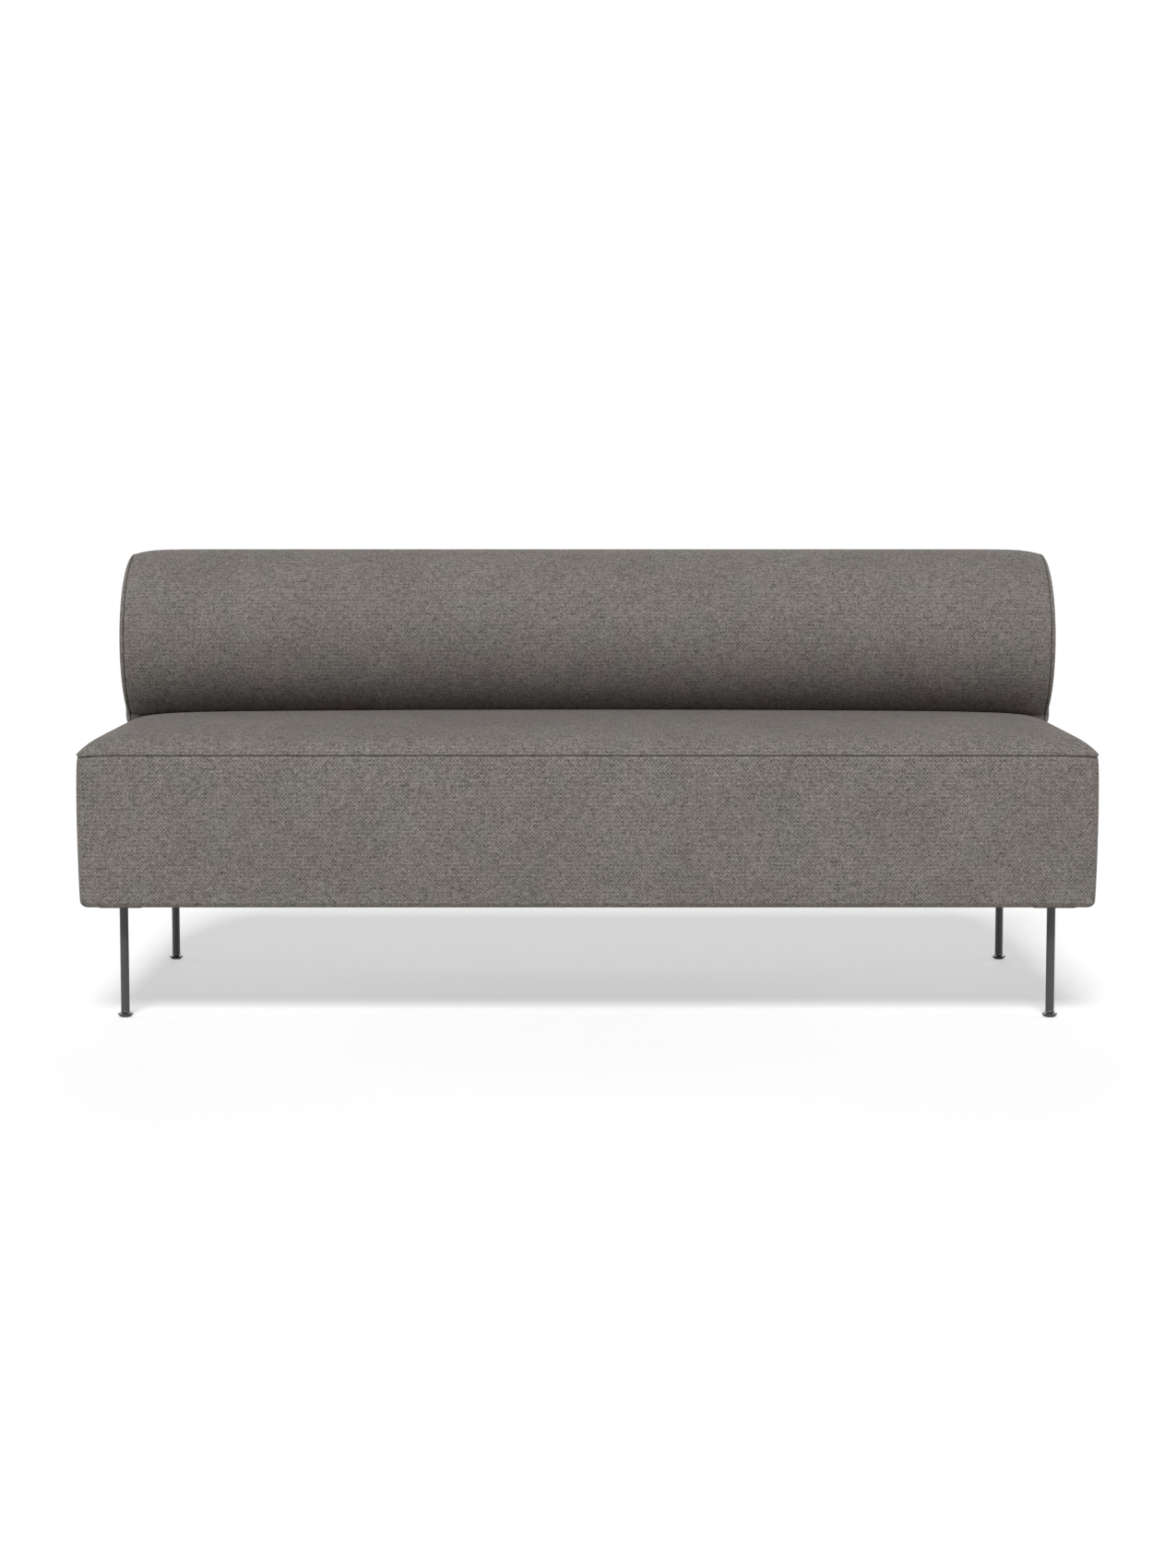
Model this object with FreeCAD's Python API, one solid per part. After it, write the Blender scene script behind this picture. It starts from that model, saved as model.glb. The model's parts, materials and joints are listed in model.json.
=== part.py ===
import FreeCAD, Part
import math
import os

# Dining sofa: a box seat on four thin steel legs, with a full-length round back roll and no arms.
# Millimetres. X runs along the sofa, the front faces -Y, Z is up, and the floor is z = 0.
# The origin is on the floor, under the middle of the seat.

V = FreeCAD.Vector
UP = V(0, 0, 1)
SIDES = (-1, 1)
SIDE_NAMES = {-1: "left", 1: "right"}
END_NAMES = {-1: "front", 1: "rear"}

# Seat, outside the fabric
seat_length = 1630.0
seat_depth = 670.0
underside_z = 188.0
seam_z = 434.0
corner_radius = 14.0
bottom_radius = 11.0
side_bulge = 3.5
side_bow = 4.0
least_bow = 0.3
round_steps = 6
wall_steps = 10
crown_rise = 37.0
crown_run = 21.0
crown_dome = 5.0
crown_peak_y = 45.0
crown_edge_steps = (0.8, 2.6, 5.0, 8.0, 12.0, 17.0, 24.0, 35.0, 50.0, 75.0, 110.0, 180.0)
crown_front_steps = (0.0, 6.0, 24.0, 55.0, 110.0)
middle_shares = (0.7, 0.35)
roll_contact = 22.0
roll_crease = 5.0
rear_turn = 12.0
rear_lift = 0.2
press_blend = 1.5

# Soft layers and fabric
cover_t = 1.5
wadding_t = 7.6
border_foam_t = 12.0
layer_gap = 0.4
top_foam_edge_t = 0.8
felt_t = 2.0
dust_cover_t = 0.8
cover_turn_under = 25.0
dust_cover_inset = 12.0

# Seat frame
rail_t = 22.0
rail_height = 110.0
cross_rail_height = 70.0
corner_block_x = 85.0
corner_block_y = 80.0
corner_block_height = 60.0
corner_block_chamfer = 25.0
dowel_radius = 5.0
dowel_length = 50.0
dowel_clearance = 0.05

# Zigzag seat springs
spring_count = 8
spring_end_bay = 184.5
spring_wire_radius = 1.9
spring_width = 54.0
spring_turns = 21
clip_wall = 1.2
clip_length = 14.0
clip_depth = 9.0
clip_clearance = 0.1

# Back roll, outside the fabric
roll_radius = 158.0
roll_sink = 14.0
roll_end_inset = 15.0
roll_end_draw = 3.75
roll_draw_length = 22.0
roll_end_steps = (0.0, 3.0, 8.0, 14.0, 22.0, 34.0, 55.0, 90.0)
roll_rear_step = 4.0
rear_seam_rise = 6.0
neck_reach = 80.0
back_seat_z = 450.0
end_bulge = 18.0
end_turn = 11.0
end_turn_inset = 24.0
end_turn_lift = 0.75

# Back build-up
back_foam_front_t = 29.6
back_foam_shift = 10.0
board_t = 4.0
former_t = 18.0
fit_gap = 0.3
cut_margin = 1.0
batten_t = 18.0
batten_width = 40.0
batten_clearance = 0.2
post_width = 45.0
post_depth = 30.0
post_bottom_z = 196.0
post_rise = 20.0
slot_clearance = 1.0
bolt_radius = 4.0
bolt_clearance = 0.1
bolt_drop = 24.0
bolt_pitch = 55.0
bolt_head_af = 13.0
bolt_head_t = 5.3
tee_nut_radius = 5.0
tee_nut_length = 12.0
tee_nut_flange_radius = 10.0
tee_nut_flange_t = 1.5

# Legs
leg_inset = 60.0
leg_radius = 7.0
leg_wall = 2.0
plate_size = 70.0
plate_t = 3.0
plate_corner_radius = 6.0
plate_hole_pitch = 44.0
screw_radius = 2.2
screw_length = 30.0
screw_head_radius = 4.4
screw_clearance = 0.05

# Levelling feet
foot_height = 11.5
foot_travel = 10.0
stud_radius = 3.95
thread_clearance = 0.05
bush_length = 20.0
hex_af = 13.6
hex_t = 4.6
hex_gap = 0.3
pad_base_radius = 8.5
pad_rim_radius = 12.5
pad_rim_z = 4.6
pad_top_z = 6.0
pad_floor_t = 1.8
swivel_neck_radius = 3.0
swivel_flange_radius = 4.2
swivel_flange_t = 1.2
swivel_clearance = 0.08

# Places that follow from the sizes above
half_length = seat_length / 2
half_depth = seat_depth / 2
frame_z = underside_z + cover_t
rail_top_z = frame_z + rail_height
frame_x = half_length - cover_t - border_foam_t
frame_y = half_depth - cover_t - border_foam_t
inner_x = frame_x - rail_t
inner_y = frame_y - rail_t
spring_end_y = inner_y + rail_t / 2
spring_turn_radius = spring_end_y / spring_turns
spring_z = rail_top_z + clip_wall + clip_clearance + spring_wire_radius
clip_top_z = spring_z + spring_wire_radius + clip_clearance + clip_wall
felt_z = clip_top_z + fit_gap
core_foam_z = felt_z + felt_t + fit_gap
wadding_drop = cover_t + layer_gap
top_foam_drop = wadding_drop + wadding_t + layer_gap
core_foam_top_z = seam_z - top_foam_drop - top_foam_edge_t - layer_gap
spring_pitch = 2 * (inner_x - spring_end_bay) / (spring_count - 1)
last_spring_x = inner_x - spring_end_bay
block_edge_x = inner_x - corner_block_x
outer_post_x = (last_spring_x + spring_width / 2 + block_edge_x) / 2
inner_post_x = spring_pitch
cross_rail_x = 2 * spring_pitch
post_y = inner_y - post_depth / 2

roll_y = half_depth - roll_rear_step - roll_radius
roll_z = back_seat_z - roll_sink + roll_radius
roll_top_z = roll_z + roll_radius
roll_half = half_length - roll_end_inset
neck_y = roll_y - neck_reach
back_base_z = back_seat_z + fit_gap
back_frame_z = back_base_z + cover_t + fit_gap
wadding_in = cover_t + layer_gap
foam_in = wadding_in + wadding_t + layer_gap
foam_inner_in = foam_in + back_foam_front_t - back_foam_shift
board_in = foam_inner_in + fit_gap
former_in = board_in + board_t + fit_gap
neck_foam_in = foam_in + back_foam_front_t
board_radius = roll_radius - board_in - board_t
core_y = roll_y + back_foam_shift

leg_x = half_length - leg_inset
leg_y = half_depth - leg_inset
dust_z = underside_z - dust_cover_t
plate_z = dust_z - plate_t
bush_radius = leg_radius - leg_wall
stud_length = bush_length + foot_travel
POSTS_X = (-outer_post_x, -inner_post_x, inner_post_x, outer_post_x)
CORNERS = [(sx, sy) for sx in SIDES for sy in SIDES]


def save(name, *solids):
    """Write one node, which holds one solid or a group of separate ones."""
    shape = solids[0] if len(solids) == 1 else Part.makeCompound(list(solids))
    shape.exportStep(os.path.join("parts", name + ".step"))
    print(name, len(shape.Solids), "solids", round(shape.Volume / 1000, 2), "cm3", shape.isValid())


def box(low, high):
    """A box between two corners."""
    return Part.makeBox(high[0] - low[0], high[1] - low[1], high[2] - low[2], V(*low))


def rounded_plate(half_x, half_y, radius, z_low, z_high, x=0.0, y=0.0):
    """A flat plate with four rounded corners."""
    plate = box((x - half_x, y - half_y, z_low), (x + half_x, y + half_y, z_high))
    upright = [e for e in plate.Edges if abs(e.Vertexes[0].Z - e.Vertexes[1].Z) > (z_high - z_low) / 2]
    return plate.makeFillet(radius, upright)


def arc(a, b, c):
    return Part.Arc(a, b, c).toShape()


def line(a, b):
    return Part.LineSegment(a, b).toShape()


def loft(wires):
    solid = Part.makeLoft(wires, True, True)
    if solid.Volume < 0:
        solid.reverse()
    return solid


def stations(half, end_steps):
    """Places along the sofa, close together near both ends."""
    xs = [half - step for step in end_steps] + [half * share for share in middle_shares]
    return [-x for x in xs] + [0.0] + list(reversed(xs))


# The side walls of the seat: rounded at the bottom, bulging a little between bottom and seam

def wall_share(z):
    """How far up the wall a height is, from 0 at the underside to 1 at the seam."""
    return min(1.0, max(0.0, (z - underside_z) / (seam_z - underside_z)))


def wall_section(z, inset):
    """A rounded rectangle at a height, drawn in by an inset, whose four sides bow outward."""
    radius = bottom_radius - inset
    low = max(0.0, bottom_radius - (z - underside_z))
    tuck = radius - math.sqrt(max(0.0, radius ** 2 - low ** 2))
    swell = math.sin(math.pi * wall_share(z))
    offset = side_bulge * math.sqrt(swell) - tuck - inset
    x = half_length + offset
    y = half_depth + offset
    r = corner_radius + offset
    bow = least_bow + side_bow * swell
    k = r * (1 - math.sqrt(0.5))
    ends = [(x - r, -y), (x, -y + r), (x, y - r), (x - r, y), (-x + r, y), (-x, y - r), (-x, -y + r), (-x + r, -y)]
    mids = [(x - k, -y + k), (x + bow, 0), (x - k, y - k), (0, y + bow)]
    mids += [(-mx, my) for mx, my in reversed(mids[:3])] + [(0, -y - bow)]
    edges = []
    for i, mid in enumerate(mids):
        a = ends[i]
        b = ends[(i + 1) % len(ends)]
        edges.append(arc(V(a[0], a[1], z), V(mid[0], mid[1], z), V(b[0], b[1], z)))
    return Part.Wire(edges)


def wall_form(inset, z_low, z_high):
    """A solid with the seat's outer shape between two heights, drawn in by an inset."""
    radius = bottom_radius - inset
    turns = [math.radians(90 * i / round_steps) for i in range(1, round_steps + 1)]
    levels = [underside_z + inset + radius * (1 - math.cos(turn)) for turn in turns]
    start = max(z_low, underside_z + bottom_radius)
    levels += [start + (z_high - start) * i / wall_steps for i in range(1, wall_steps)]
    inner = [z for z in levels if z_low + 0.1 < z < z_high - 0.1]
    return loft([wall_section(z, inset) for z in [z_low] + inner + [z_high]])


# The crown of the seat: it rises quickly from the seam, then gently towards the back roll

def edge_share(distance):
    return 1 - math.exp(-((max(distance, 0.0) / crown_run) ** 0.7))


def crown_z(x, y):
    """The height of the seat's top where nothing presses on it."""
    from_side = half_length - abs(x)
    from_front = half_depth + y
    from_rear = half_depth - y
    edge = edge_share(from_side) * edge_share(from_front) * edge_share(from_rear)
    dome_y = 1 - ((y - crown_peak_y) / (half_depth + crown_peak_y)) ** 2
    dome_x = 1 - (x / half_length) ** 2
    return seam_z + crown_rise * edge + crown_dome * dome_x * max(0.0, dome_y) * edge


def end_draw(x):
    """How far the roll is drawn in towards its ends."""
    return roll_end_draw * math.exp((min(abs(x), roll_half) - roll_half) / roll_draw_length)


def roll_under_z(x, y):
    """The height at which the back roll's round front stands over the seat."""
    reach = roll_radius - end_draw(x) + 3 * fit_gap
    return roll_z - end_draw(x) - math.sqrt(reach ** 2 - (roll_y - y) ** 2)


def pressed(free_z, limit_z):
    """The lower of two heights, with a soft turn where they meet."""
    gap = abs(free_z - limit_z)
    return min(free_z, limit_z) - press_blend * math.log(1 + math.exp(-gap / press_blend))


def crown_points(x, drop):
    """Points of the crown's outline from front to rear: arcs first, then the pressed part."""
    touch_y = neck_y - roll_contact
    free = [-half_depth + step for step in crown_front_steps]
    free.append((free[-1] + touch_y) / 2)
    points = [(y, crown_z(x, y)) for y in free]
    points += [(y, pressed(crown_z(x, y), roll_under_z(x, y))) for y in (touch_y, neck_y - roll_crease)]
    under_back = (neck_y - 2 * fit_gap, half_depth - rear_turn)
    points += [(y, pressed(crown_z(x, y), back_seat_z)) for y in under_back]
    points.append((half_depth, seam_z + rear_lift))
    return [V(x, y, z - drop) for y, z in points]


def crown_edges(points):
    """Three arcs over the free part of the seat, then lines under the back."""
    edges = [arc(*points[i:i + 3]) for i in (0, 2, 4)]
    edges += [line(points[i], points[i + 1]) for i in range(6, len(points) - 1)]
    return edges


def crown_section(x, drop, thickness):
    """One section across a layer of the seat's top."""
    top = crown_points(x, drop)
    low = [p - UP * thickness for p in top]
    edges = crown_edges(top) + [line(top[-1], low[-1])]
    edges += list(reversed(crown_edges(low))) + [line(low[0], top[0])]
    return Part.Wire(edges)


def crown_layer(inset, drop, thickness, flat_z=underside_z):
    """A layer of the seat's top, with its corners rounded like the seam, cut flat at a height."""
    solid = loft([crown_section(x, drop, thickness) for x in stations(half_length, crown_edge_steps)])
    blank = rounded_plate(half_length - inset, half_depth - inset, corner_radius - inset, flat_z, roll_top_z)
    return solid.common(blank)


# The back: a circle that stands on a short neck, with a flat upright rear

def back_section(x, cut, shift, neck_cut, base_z, draw):
    """The outline of the back at one place along it, drawn in by a cut."""
    radius = roll_radius - draw - cut
    y = roll_y + shift
    z = roll_z - draw
    neck = neck_y + neck_cut
    drop = math.sqrt(radius ** 2 - (y - neck) ** 2)
    low_angle = 2 * math.pi + math.atan2(-drop, neck - y)

    def at(angle):
        return V(x, y + radius * math.cos(angle), z + radius * math.sin(angle))

    foot = V(x, neck, base_z)
    heel = V(x, y + radius, base_z)
    edges = [line(foot, at(low_angle)), arc(at(low_angle), at(low_angle * 0.75), at(low_angle * 0.5))]
    edges += [arc(at(low_angle * 0.5), at(low_angle * 0.25), at(0.0))]
    edges += [line(at(0.0), heel), line(heel, foot)]
    return Part.Wire(edges)


def back_form(cut, neck_cut, base_z, shift=0.0):
    """A solid of the back's whole length, drawn in by a cut."""
    places = stations(roll_half, roll_end_steps)
    return loft([back_section(x, cut, shift, neck_cut, base_z, end_draw(x)) for x in places])


def end_form(side, skin):
    """The domed end of the back, drawn in by the thickness of a skin: a quick turn, then a slow dome."""
    sections = []
    for i in range(round_steps + 1):
        turn = math.radians(90 * i / round_steps)
        inset = end_turn_inset * (1 - math.cos(turn)) + skin
        x = side * (roll_half + end_turn * math.sin(turn) - skin)
        sections.append(back_section(x, inset, 0.0, inset, back_base_z + end_turn_lift * inset, roll_end_draw))
    inset = end_turn_inset + skin
    x = side * (roll_half + 2 * end_bulge)
    sections.append(back_section(x, inset, 0.0, inset, back_base_z + end_turn_lift * inset, roll_end_draw))
    reach = roll_radius - roll_end_draw - end_turn_inset
    rise = end_bulge - end_turn
    dome_radius = (reach ** 2 + rise ** 2) / (2 * rise)
    centre = V(side * (roll_half + end_bulge - dome_radius), roll_y, roll_z - roll_end_draw)
    return loft(sections).common(Part.makeSphere(dome_radius - skin, centre))


# Seat frame

def hexagon(across_flats, thickness, centre, axis):
    """A hexagonal prism that starts at a centre and runs along an axis."""
    radius = across_flats / math.sqrt(3)
    points = [V(radius * math.cos(math.radians(60 * i)), radius * math.sin(math.radians(60 * i)), 0) for i in range(7)]
    prism = Part.Face(Part.makePolygon(points)).extrude(UP * thickness)
    prism.Placement = FreeCAD.Placement(centre, FreeCAD.Rotation(UP, axis))
    return prism


def dowel_places():
    """Where the dowels go that hold the side rails to the front and rear rails."""
    places = []
    for sx, sy in CORNERS:
        for share in (0.25, 0.75):
            places.append((sx, sy * (inner_y + rail_t / 2), frame_z + share * rail_height))
    return places


def dowel(sx, y, z, radius):
    start = sx * (inner_x - dowel_length + rail_t / 2)
    return Part.makeCylinder(radius, dowel_length, V(start, y, z), V(sx, 0, 0))


def bolt_places():
    return [(x, rail_top_z - bolt_drop - step) for x in POSTS_X for step in (0.0, bolt_pitch)]


def cut_all(shape, tools):
    return shape.cut(Part.makeCompound(tools)) if tools else shape


def seat_rails():
    dowel_holes = [dowel(sx, y, z, dowel_radius + dowel_clearance) for sx, y, z in dowel_places()]
    bolt_holes = []
    for x, z in bolt_places():
        bolt_holes.append(Part.makeCylinder(bolt_radius + bolt_clearance, rail_t, V(x, inner_y, z), V(0, 1, 0)))
        barrel = V(x, frame_y - tee_nut_length, z)
        bolt_holes.append(Part.makeCylinder(tee_nut_radius + bolt_clearance, tee_nut_length, barrel, V(0, 1, 0)))
        flange = V(x, frame_y - tee_nut_flange_t, z)
        flange_radius = tee_nut_flange_radius + bolt_clearance
        bolt_holes.append(Part.makeCylinder(flange_radius, tee_nut_flange_t, flange, V(0, 1, 0)))
    for sy in SIDES:
        low = (-inner_x, min(sy * inner_y, sy * frame_y), frame_z)
        high = (inner_x, max(sy * inner_y, sy * frame_y), rail_top_z)
        rail = cut_all(box(low, high), dowel_holes)
        save(END_NAMES[sy] + "_rail", cut_all(rail, bolt_holes) if sy > 0 else rail)
    for sx in SIDES:
        low = (min(sx * inner_x, sx * frame_x), -frame_y, frame_z)
        high = (max(sx * inner_x, sx * frame_x), frame_y, rail_top_z)
        save("side_rail_" + SIDE_NAMES[sx], cut_all(box(low, high), dowel_holes))
    save("rail_dowels", *[dowel(sx, y, z, dowel_radius) for sx, y, z in dowel_places()])


def cross_rails():
    rails = []
    for sx in SIDES:
        x = sx * cross_rail_x
        low = (x - rail_t / 2, -inner_y, frame_z)
        rails.append(box(low, (x + rail_t / 2, inner_y, frame_z + cross_rail_height)))
    save("cross_rails", *rails)


def screw_places():
    """The four screws of each leg plate."""
    reach = plate_hole_pitch / 2
    return [(sx * leg_x + ix * reach, sy * leg_y + iy * reach) for sx, sy in CORNERS for ix, iy in CORNERS]


def screw(x, y, clearance):
    """A countersunk wood screw, or with a clearance the hole that it needs."""
    head_h = screw_head_radius - screw_radius
    head = Part.makeCone(screw_head_radius + clearance, screw_radius + clearance, head_h, V(x, y, plate_z))
    shank = Part.makeCylinder(screw_radius + clearance, screw_length, V(x, y, plate_z))
    return head.fuse(shank)


def corner_blocks():
    blocks = []
    holes = [screw(x, y, screw_clearance) for x, y in screw_places()]
    for sx, sy in CORNERS:
        c = corner_block_chamfer
        outline = [(0, 0), (corner_block_x, 0), (corner_block_x, corner_block_y - c)]
        outline += [(corner_block_x - c, corner_block_y), (0, corner_block_y), (0, 0)]
        points = [V(sx * (inner_x - px), sy * (inner_y - py), frame_z) for px, py in outline]
        block = Part.Face(Part.makePolygon(points)).extrude(UP * corner_block_height)
        blocks.append(cut_all(block, holes))
    save("corner_blocks", *blocks)


# Springs and their clips

def spring_centres():
    return [-last_spring_x + i * spring_pitch for i in range(spring_count)]


def spring_path():
    """A flat zigzag of straight runs and half turns, from the front rail to the rear rail."""
    r = spring_turn_radius
    half_run = spring_width / 2 - r
    edges = []
    for i in range(spring_turns + 1):
        y = 2 * r * i - spring_end_y
        way = 1 if i % 2 == 0 else -1
        edges.append(line(V(-way * half_run, y, spring_z), V(way * half_run, y, spring_z)))
        if i < spring_turns:
            side = V(way * half_run, y, spring_z)
            quarter = r * math.sqrt(0.5)
            out = side + V(way * r, r, 0)
            edges.append(arc(side, side + V(way * quarter, r - quarter, 0), out))
            edges.append(arc(out, side + V(way * quarter, r + quarter, 0), side + V(0, 2 * r, 0)))
    return Part.Wire(edges)


def seat_springs():
    path = spring_path()
    start = path.Edges[0].Vertexes[0].Point
    ring = Part.Wire(Part.makeCircle(spring_wire_radius, start, V(1, 0, 0)))
    spring = path.makePipeShell([ring], True, False)
    if spring.Volume < 0:
        spring.reverse()
    springs = []
    for x in spring_centres():
        one = spring.copy()
        one.translate(V(x, 0, 0))
        springs.append(one)
    save("seat_springs", *springs)


def spring_clips():
    clips = []
    hole_radius = spring_wire_radius + clip_clearance
    for x in spring_centres():
        for sy in SIDES:
            y = sy * spring_end_y
            rail_side = y + sy * clip_depth
            low = (x - clip_length / 2, min(y - sy * hole_radius * 2, rail_side), rail_top_z)
            high = (x + clip_length / 2, max(y - sy * hole_radius * 2, rail_side), clip_top_z)
            hole = Part.makeCylinder(hole_radius, clip_length, V(x - clip_length / 2, y, spring_z), V(1, 0, 0))
            clips.append(box(low, high).cut(hole))
    save("spring_clips", *clips)


# Seat layers

def post_slots(z_low, z_high):
    """Openings for the back's posts, wider than the posts all round."""
    slots = []
    half_x = post_width / 2 + slot_clearance
    half_y = post_depth / 2 + slot_clearance
    for x in POSTS_X:
        slots.append(box((x - half_x, post_y - half_y, z_low), (x + half_x, post_y + half_y, z_high)))
    return slots


def seat_layers():
    slots = post_slots(rail_top_z, back_base_z + 2 * cover_t)
    skin = cover_t + fit_gap
    felt_x = frame_x - fit_gap
    felt_y = frame_y - fit_gap
    save("spring_felt", cut_all(box((-felt_x, -felt_y, felt_z), (felt_x, felt_y, felt_z + felt_t)), slots))
    save("seat_core_foam", cut_all(wall_form(skin, core_foam_z, core_foam_top_z), slots))
    crown_height = crown_rise + crown_dome + top_foam_edge_t
    top_foam = crown_layer(skin, top_foam_drop, 2 * crown_height, core_foam_top_z + layer_gap)
    save("seat_top_foam", cut_all(top_foam, slots))
    save("seat_wadding", cut_all(crown_layer(skin, wadding_drop, wadding_t), slots))
    save("seat_top_cover", cut_all(crown_layer(0.0, 0.0, cover_t), slots))


def border_pads():
    """Foam strips between the seat rails and the border fabric."""
    top = core_foam_z - fit_gap
    ring = wall_form(cover_t + fit_gap, frame_z + fit_gap, top)
    ring = ring.cut(box((-frame_x, -frame_y, frame_z), (frame_x, frame_y, top + cut_margin)))
    far = half_length + half_depth
    for sy in SIDES:
        low = (-far, min(sy * frame_y, sy * far), 0)
        high = (far, max(sy * frame_y, sy * far), top)
        save("border_pad_" + END_NAMES[sy], ring.common(box(low, high)))
    for sx in SIDES:
        low = (min(sx * frame_x, sx * far), -frame_y, 0)
        high = (max(sx * frame_x, sx * far), frame_y, top)
        save("border_pad_" + SIDE_NAMES[sx], ring.common(box(low, high)))


def border_cover():
    """The fabric round the seat's sides, turned under the frame at the bottom."""
    top = seam_z - cover_t
    outer = wall_form(0.0, underside_z, top)
    inner = wall_form(cover_t, underside_z + cover_t, top)
    opening_x = half_length - cover_turn_under
    opening_y = half_depth - cover_turn_under
    opening = box((-opening_x, -opening_y, underside_z), (opening_x, opening_y, underside_z + 2 * cover_t))
    save("seat_border_cover", outer.cut(inner).cut(opening))


def dust_cover():
    half_x = half_length - dust_cover_inset
    half_y = half_depth - dust_cover_inset
    sheet = rounded_plate(half_x, half_y, corner_radius, dust_z, underside_z)
    save("dust_cover", cut_all(sheet, [screw(x, y, screw_clearance) for x, y in screw_places()]))


# Back frame

def back_posts():
    top = roll_z + post_rise
    posts = []
    holes = []
    for x, z in bolt_places():
        start = V(x, post_y - post_depth / 2, z)
        holes.append(Part.makeCylinder(bolt_radius + bolt_clearance, post_depth, start, V(0, 1, 0)))
    for x in POSTS_X:
        low = (x - post_width / 2, post_y - post_depth / 2, post_bottom_z)
        posts.append(cut_all(box(low, (x + post_width / 2, post_y + post_depth / 2, top)), holes))
    save("back_posts", *posts)


def back_bolts():
    bolts = []
    nuts = []
    front = post_y - post_depth / 2
    length = frame_y - tee_nut_flange_t - front
    along = V(0, 1, 0)
    for x, z in bolt_places():
        shank = Part.makeCylinder(bolt_radius, length, V(x, front, z), along)
        bolts.append(shank.fuse(hexagon(bolt_head_af, bolt_head_t, V(x, front, z), V(0, -1, 0))))
        barrel = Part.makeCylinder(tee_nut_radius, tee_nut_length, V(x, frame_y - tee_nut_length, z), along)
        flange_at = V(x, frame_y - tee_nut_flange_t, z)
        flange = Part.makeCylinder(tee_nut_flange_radius, tee_nut_flange_t, flange_at, along)
        bore_at = V(x, frame_y - tee_nut_length, z)
        bore = Part.makeCylinder(bolt_radius + thread_clearance, tee_nut_length, bore_at, along)
        nuts.append(barrel.fuse(flange).cut(bore))
    save("back_bolts", *bolts)
    save("back_tee_nuts", *nuts)


def batten_boxes(extra):
    """The four battens along the back, or with an extra the notches for them."""
    end = roll_half - former_t - 2 * fit_gap
    half = batten_width / 2
    top_z = roll_z + board_radius - 2 * roll_end_draw - half ** 2 / (2 * board_radius)
    front_y = core_y - board_radius + roll_end_draw + half ** 2 / (2 * board_radius)
    base_front_y = neck_y + neck_foam_in + board_t + 2 * fit_gap
    base_rear_y = post_y - post_depth / 2 - fit_gap
    places = {
        "top": (core_y - half, core_y + half, top_z - batten_t, top_z),
        "front": (front_y, front_y + batten_t, roll_z - half, roll_z + half),
        "base_front": (base_front_y, base_front_y + batten_width, back_frame_z, back_frame_z + batten_t),
        "base_rear": (base_rear_y - batten_width, base_rear_y, back_frame_z, back_frame_z + batten_t),
    }
    boxes = {}
    for name, (y_low, y_high, z_low, z_high) in places.items():
        low = (-end, y_low - extra, z_low - extra)
        boxes[name] = box(low, (end, y_high + extra, z_high + extra))
    return boxes


def back_battens():
    boxes = batten_boxes(0.0)
    save("back_top_batten", boxes["top"])
    save("back_front_batten", boxes["front"])
    save("back_base_battens", boxes["base_front"], boxes["base_rear"])


def back_formers():
    """Upright plywood ribs: one beside each post and one at each end."""
    core = back_form(former_in, neck_foam_in + fit_gap + board_t + fit_gap, back_frame_z, back_foam_shift)
    notches = list(batten_boxes(batten_clearance).values())
    starts = [(x, x + math.copysign(post_width / 2, x)) for x in POSTS_X]
    formers = []
    for x, face in starts:
        side = math.copysign(1, x)
        low = min(face, face + side * former_t)
        slab = box((low, -half_depth, back_frame_z), (low + former_t, half_depth, roll_top_z))
        formers.append(cut_all(core.common(slab), notches))
    save("back_formers", *formers)
    ends = []
    for sx in SIDES:
        outer = sx * (roll_half - fit_gap)
        low = min(outer, outer - sx * former_t)
        slab = box((low, -half_depth, back_frame_z), (low + former_t, half_depth, roll_top_z))
        ends.append(core.common(slab))
    save("back_end_formers", *ends)


def tube(cut, neck_cut, shift, inner_cut, inner_neck, inner_shift, base_z, inner_base_z):
    """A layer round the back, between two forms of the back's whole length."""
    outer = back_form(cut, neck_cut, base_z, shift)
    return outer.cut(back_form(inner_cut, inner_neck, inner_base_z, inner_shift))


def back_layers():
    below = back_frame_z - 3 * cover_t
    board_neck = neck_foam_in + fit_gap
    shift = back_foam_shift
    board = tube(board_in, board_neck, shift, board_in + board_t, board_neck + board_t, shift, back_frame_z, below)
    save("back_board", board)
    foam = tube(foam_in, foam_in, 0.0, foam_inner_in, neck_foam_in, shift, back_frame_z, below)
    save("back_foam", foam)
    wadding_end = wadding_in + wadding_t
    save("back_wadding", tube(wadding_in, wadding_in, 0.0, wadding_end, wadding_end, 0.0, back_frame_z, below))
    cover = tube(0.0, 0.0, 0.0, cover_t, cover_t, 0.0, back_base_z, back_base_z + cover_t)
    cover = cut_all(cover, post_slots(back_base_z - cut_margin, back_frame_z + cut_margin))
    seam_height = roll_z + rear_seam_rise
    far = roll_half + cut_margin
    rear_zone = box((-far, roll_y, 0), (far, half_depth, seam_height))
    save("back_front_cover", cover.cut(rear_zone))
    save("back_rear_cover", cover.common(rear_zone))


def back_ends():
    for sx in SIDES:
        inner = end_form(sx, cover_t)
        save("back_end_cover_" + SIDE_NAMES[sx], end_form(sx, 0.0).cut(inner))
        face = sx * (roll_half + fit_gap)
        far = sx * (roll_half + 2 * end_bulge)
        keep = box((min(face, far), -half_depth, 0), (max(face, far), half_depth, roll_top_z))
        save("back_end_pad_" + SIDE_NAMES[sx], end_form(sx, cover_t + fit_gap).common(keep))


# Legs and feet

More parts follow.
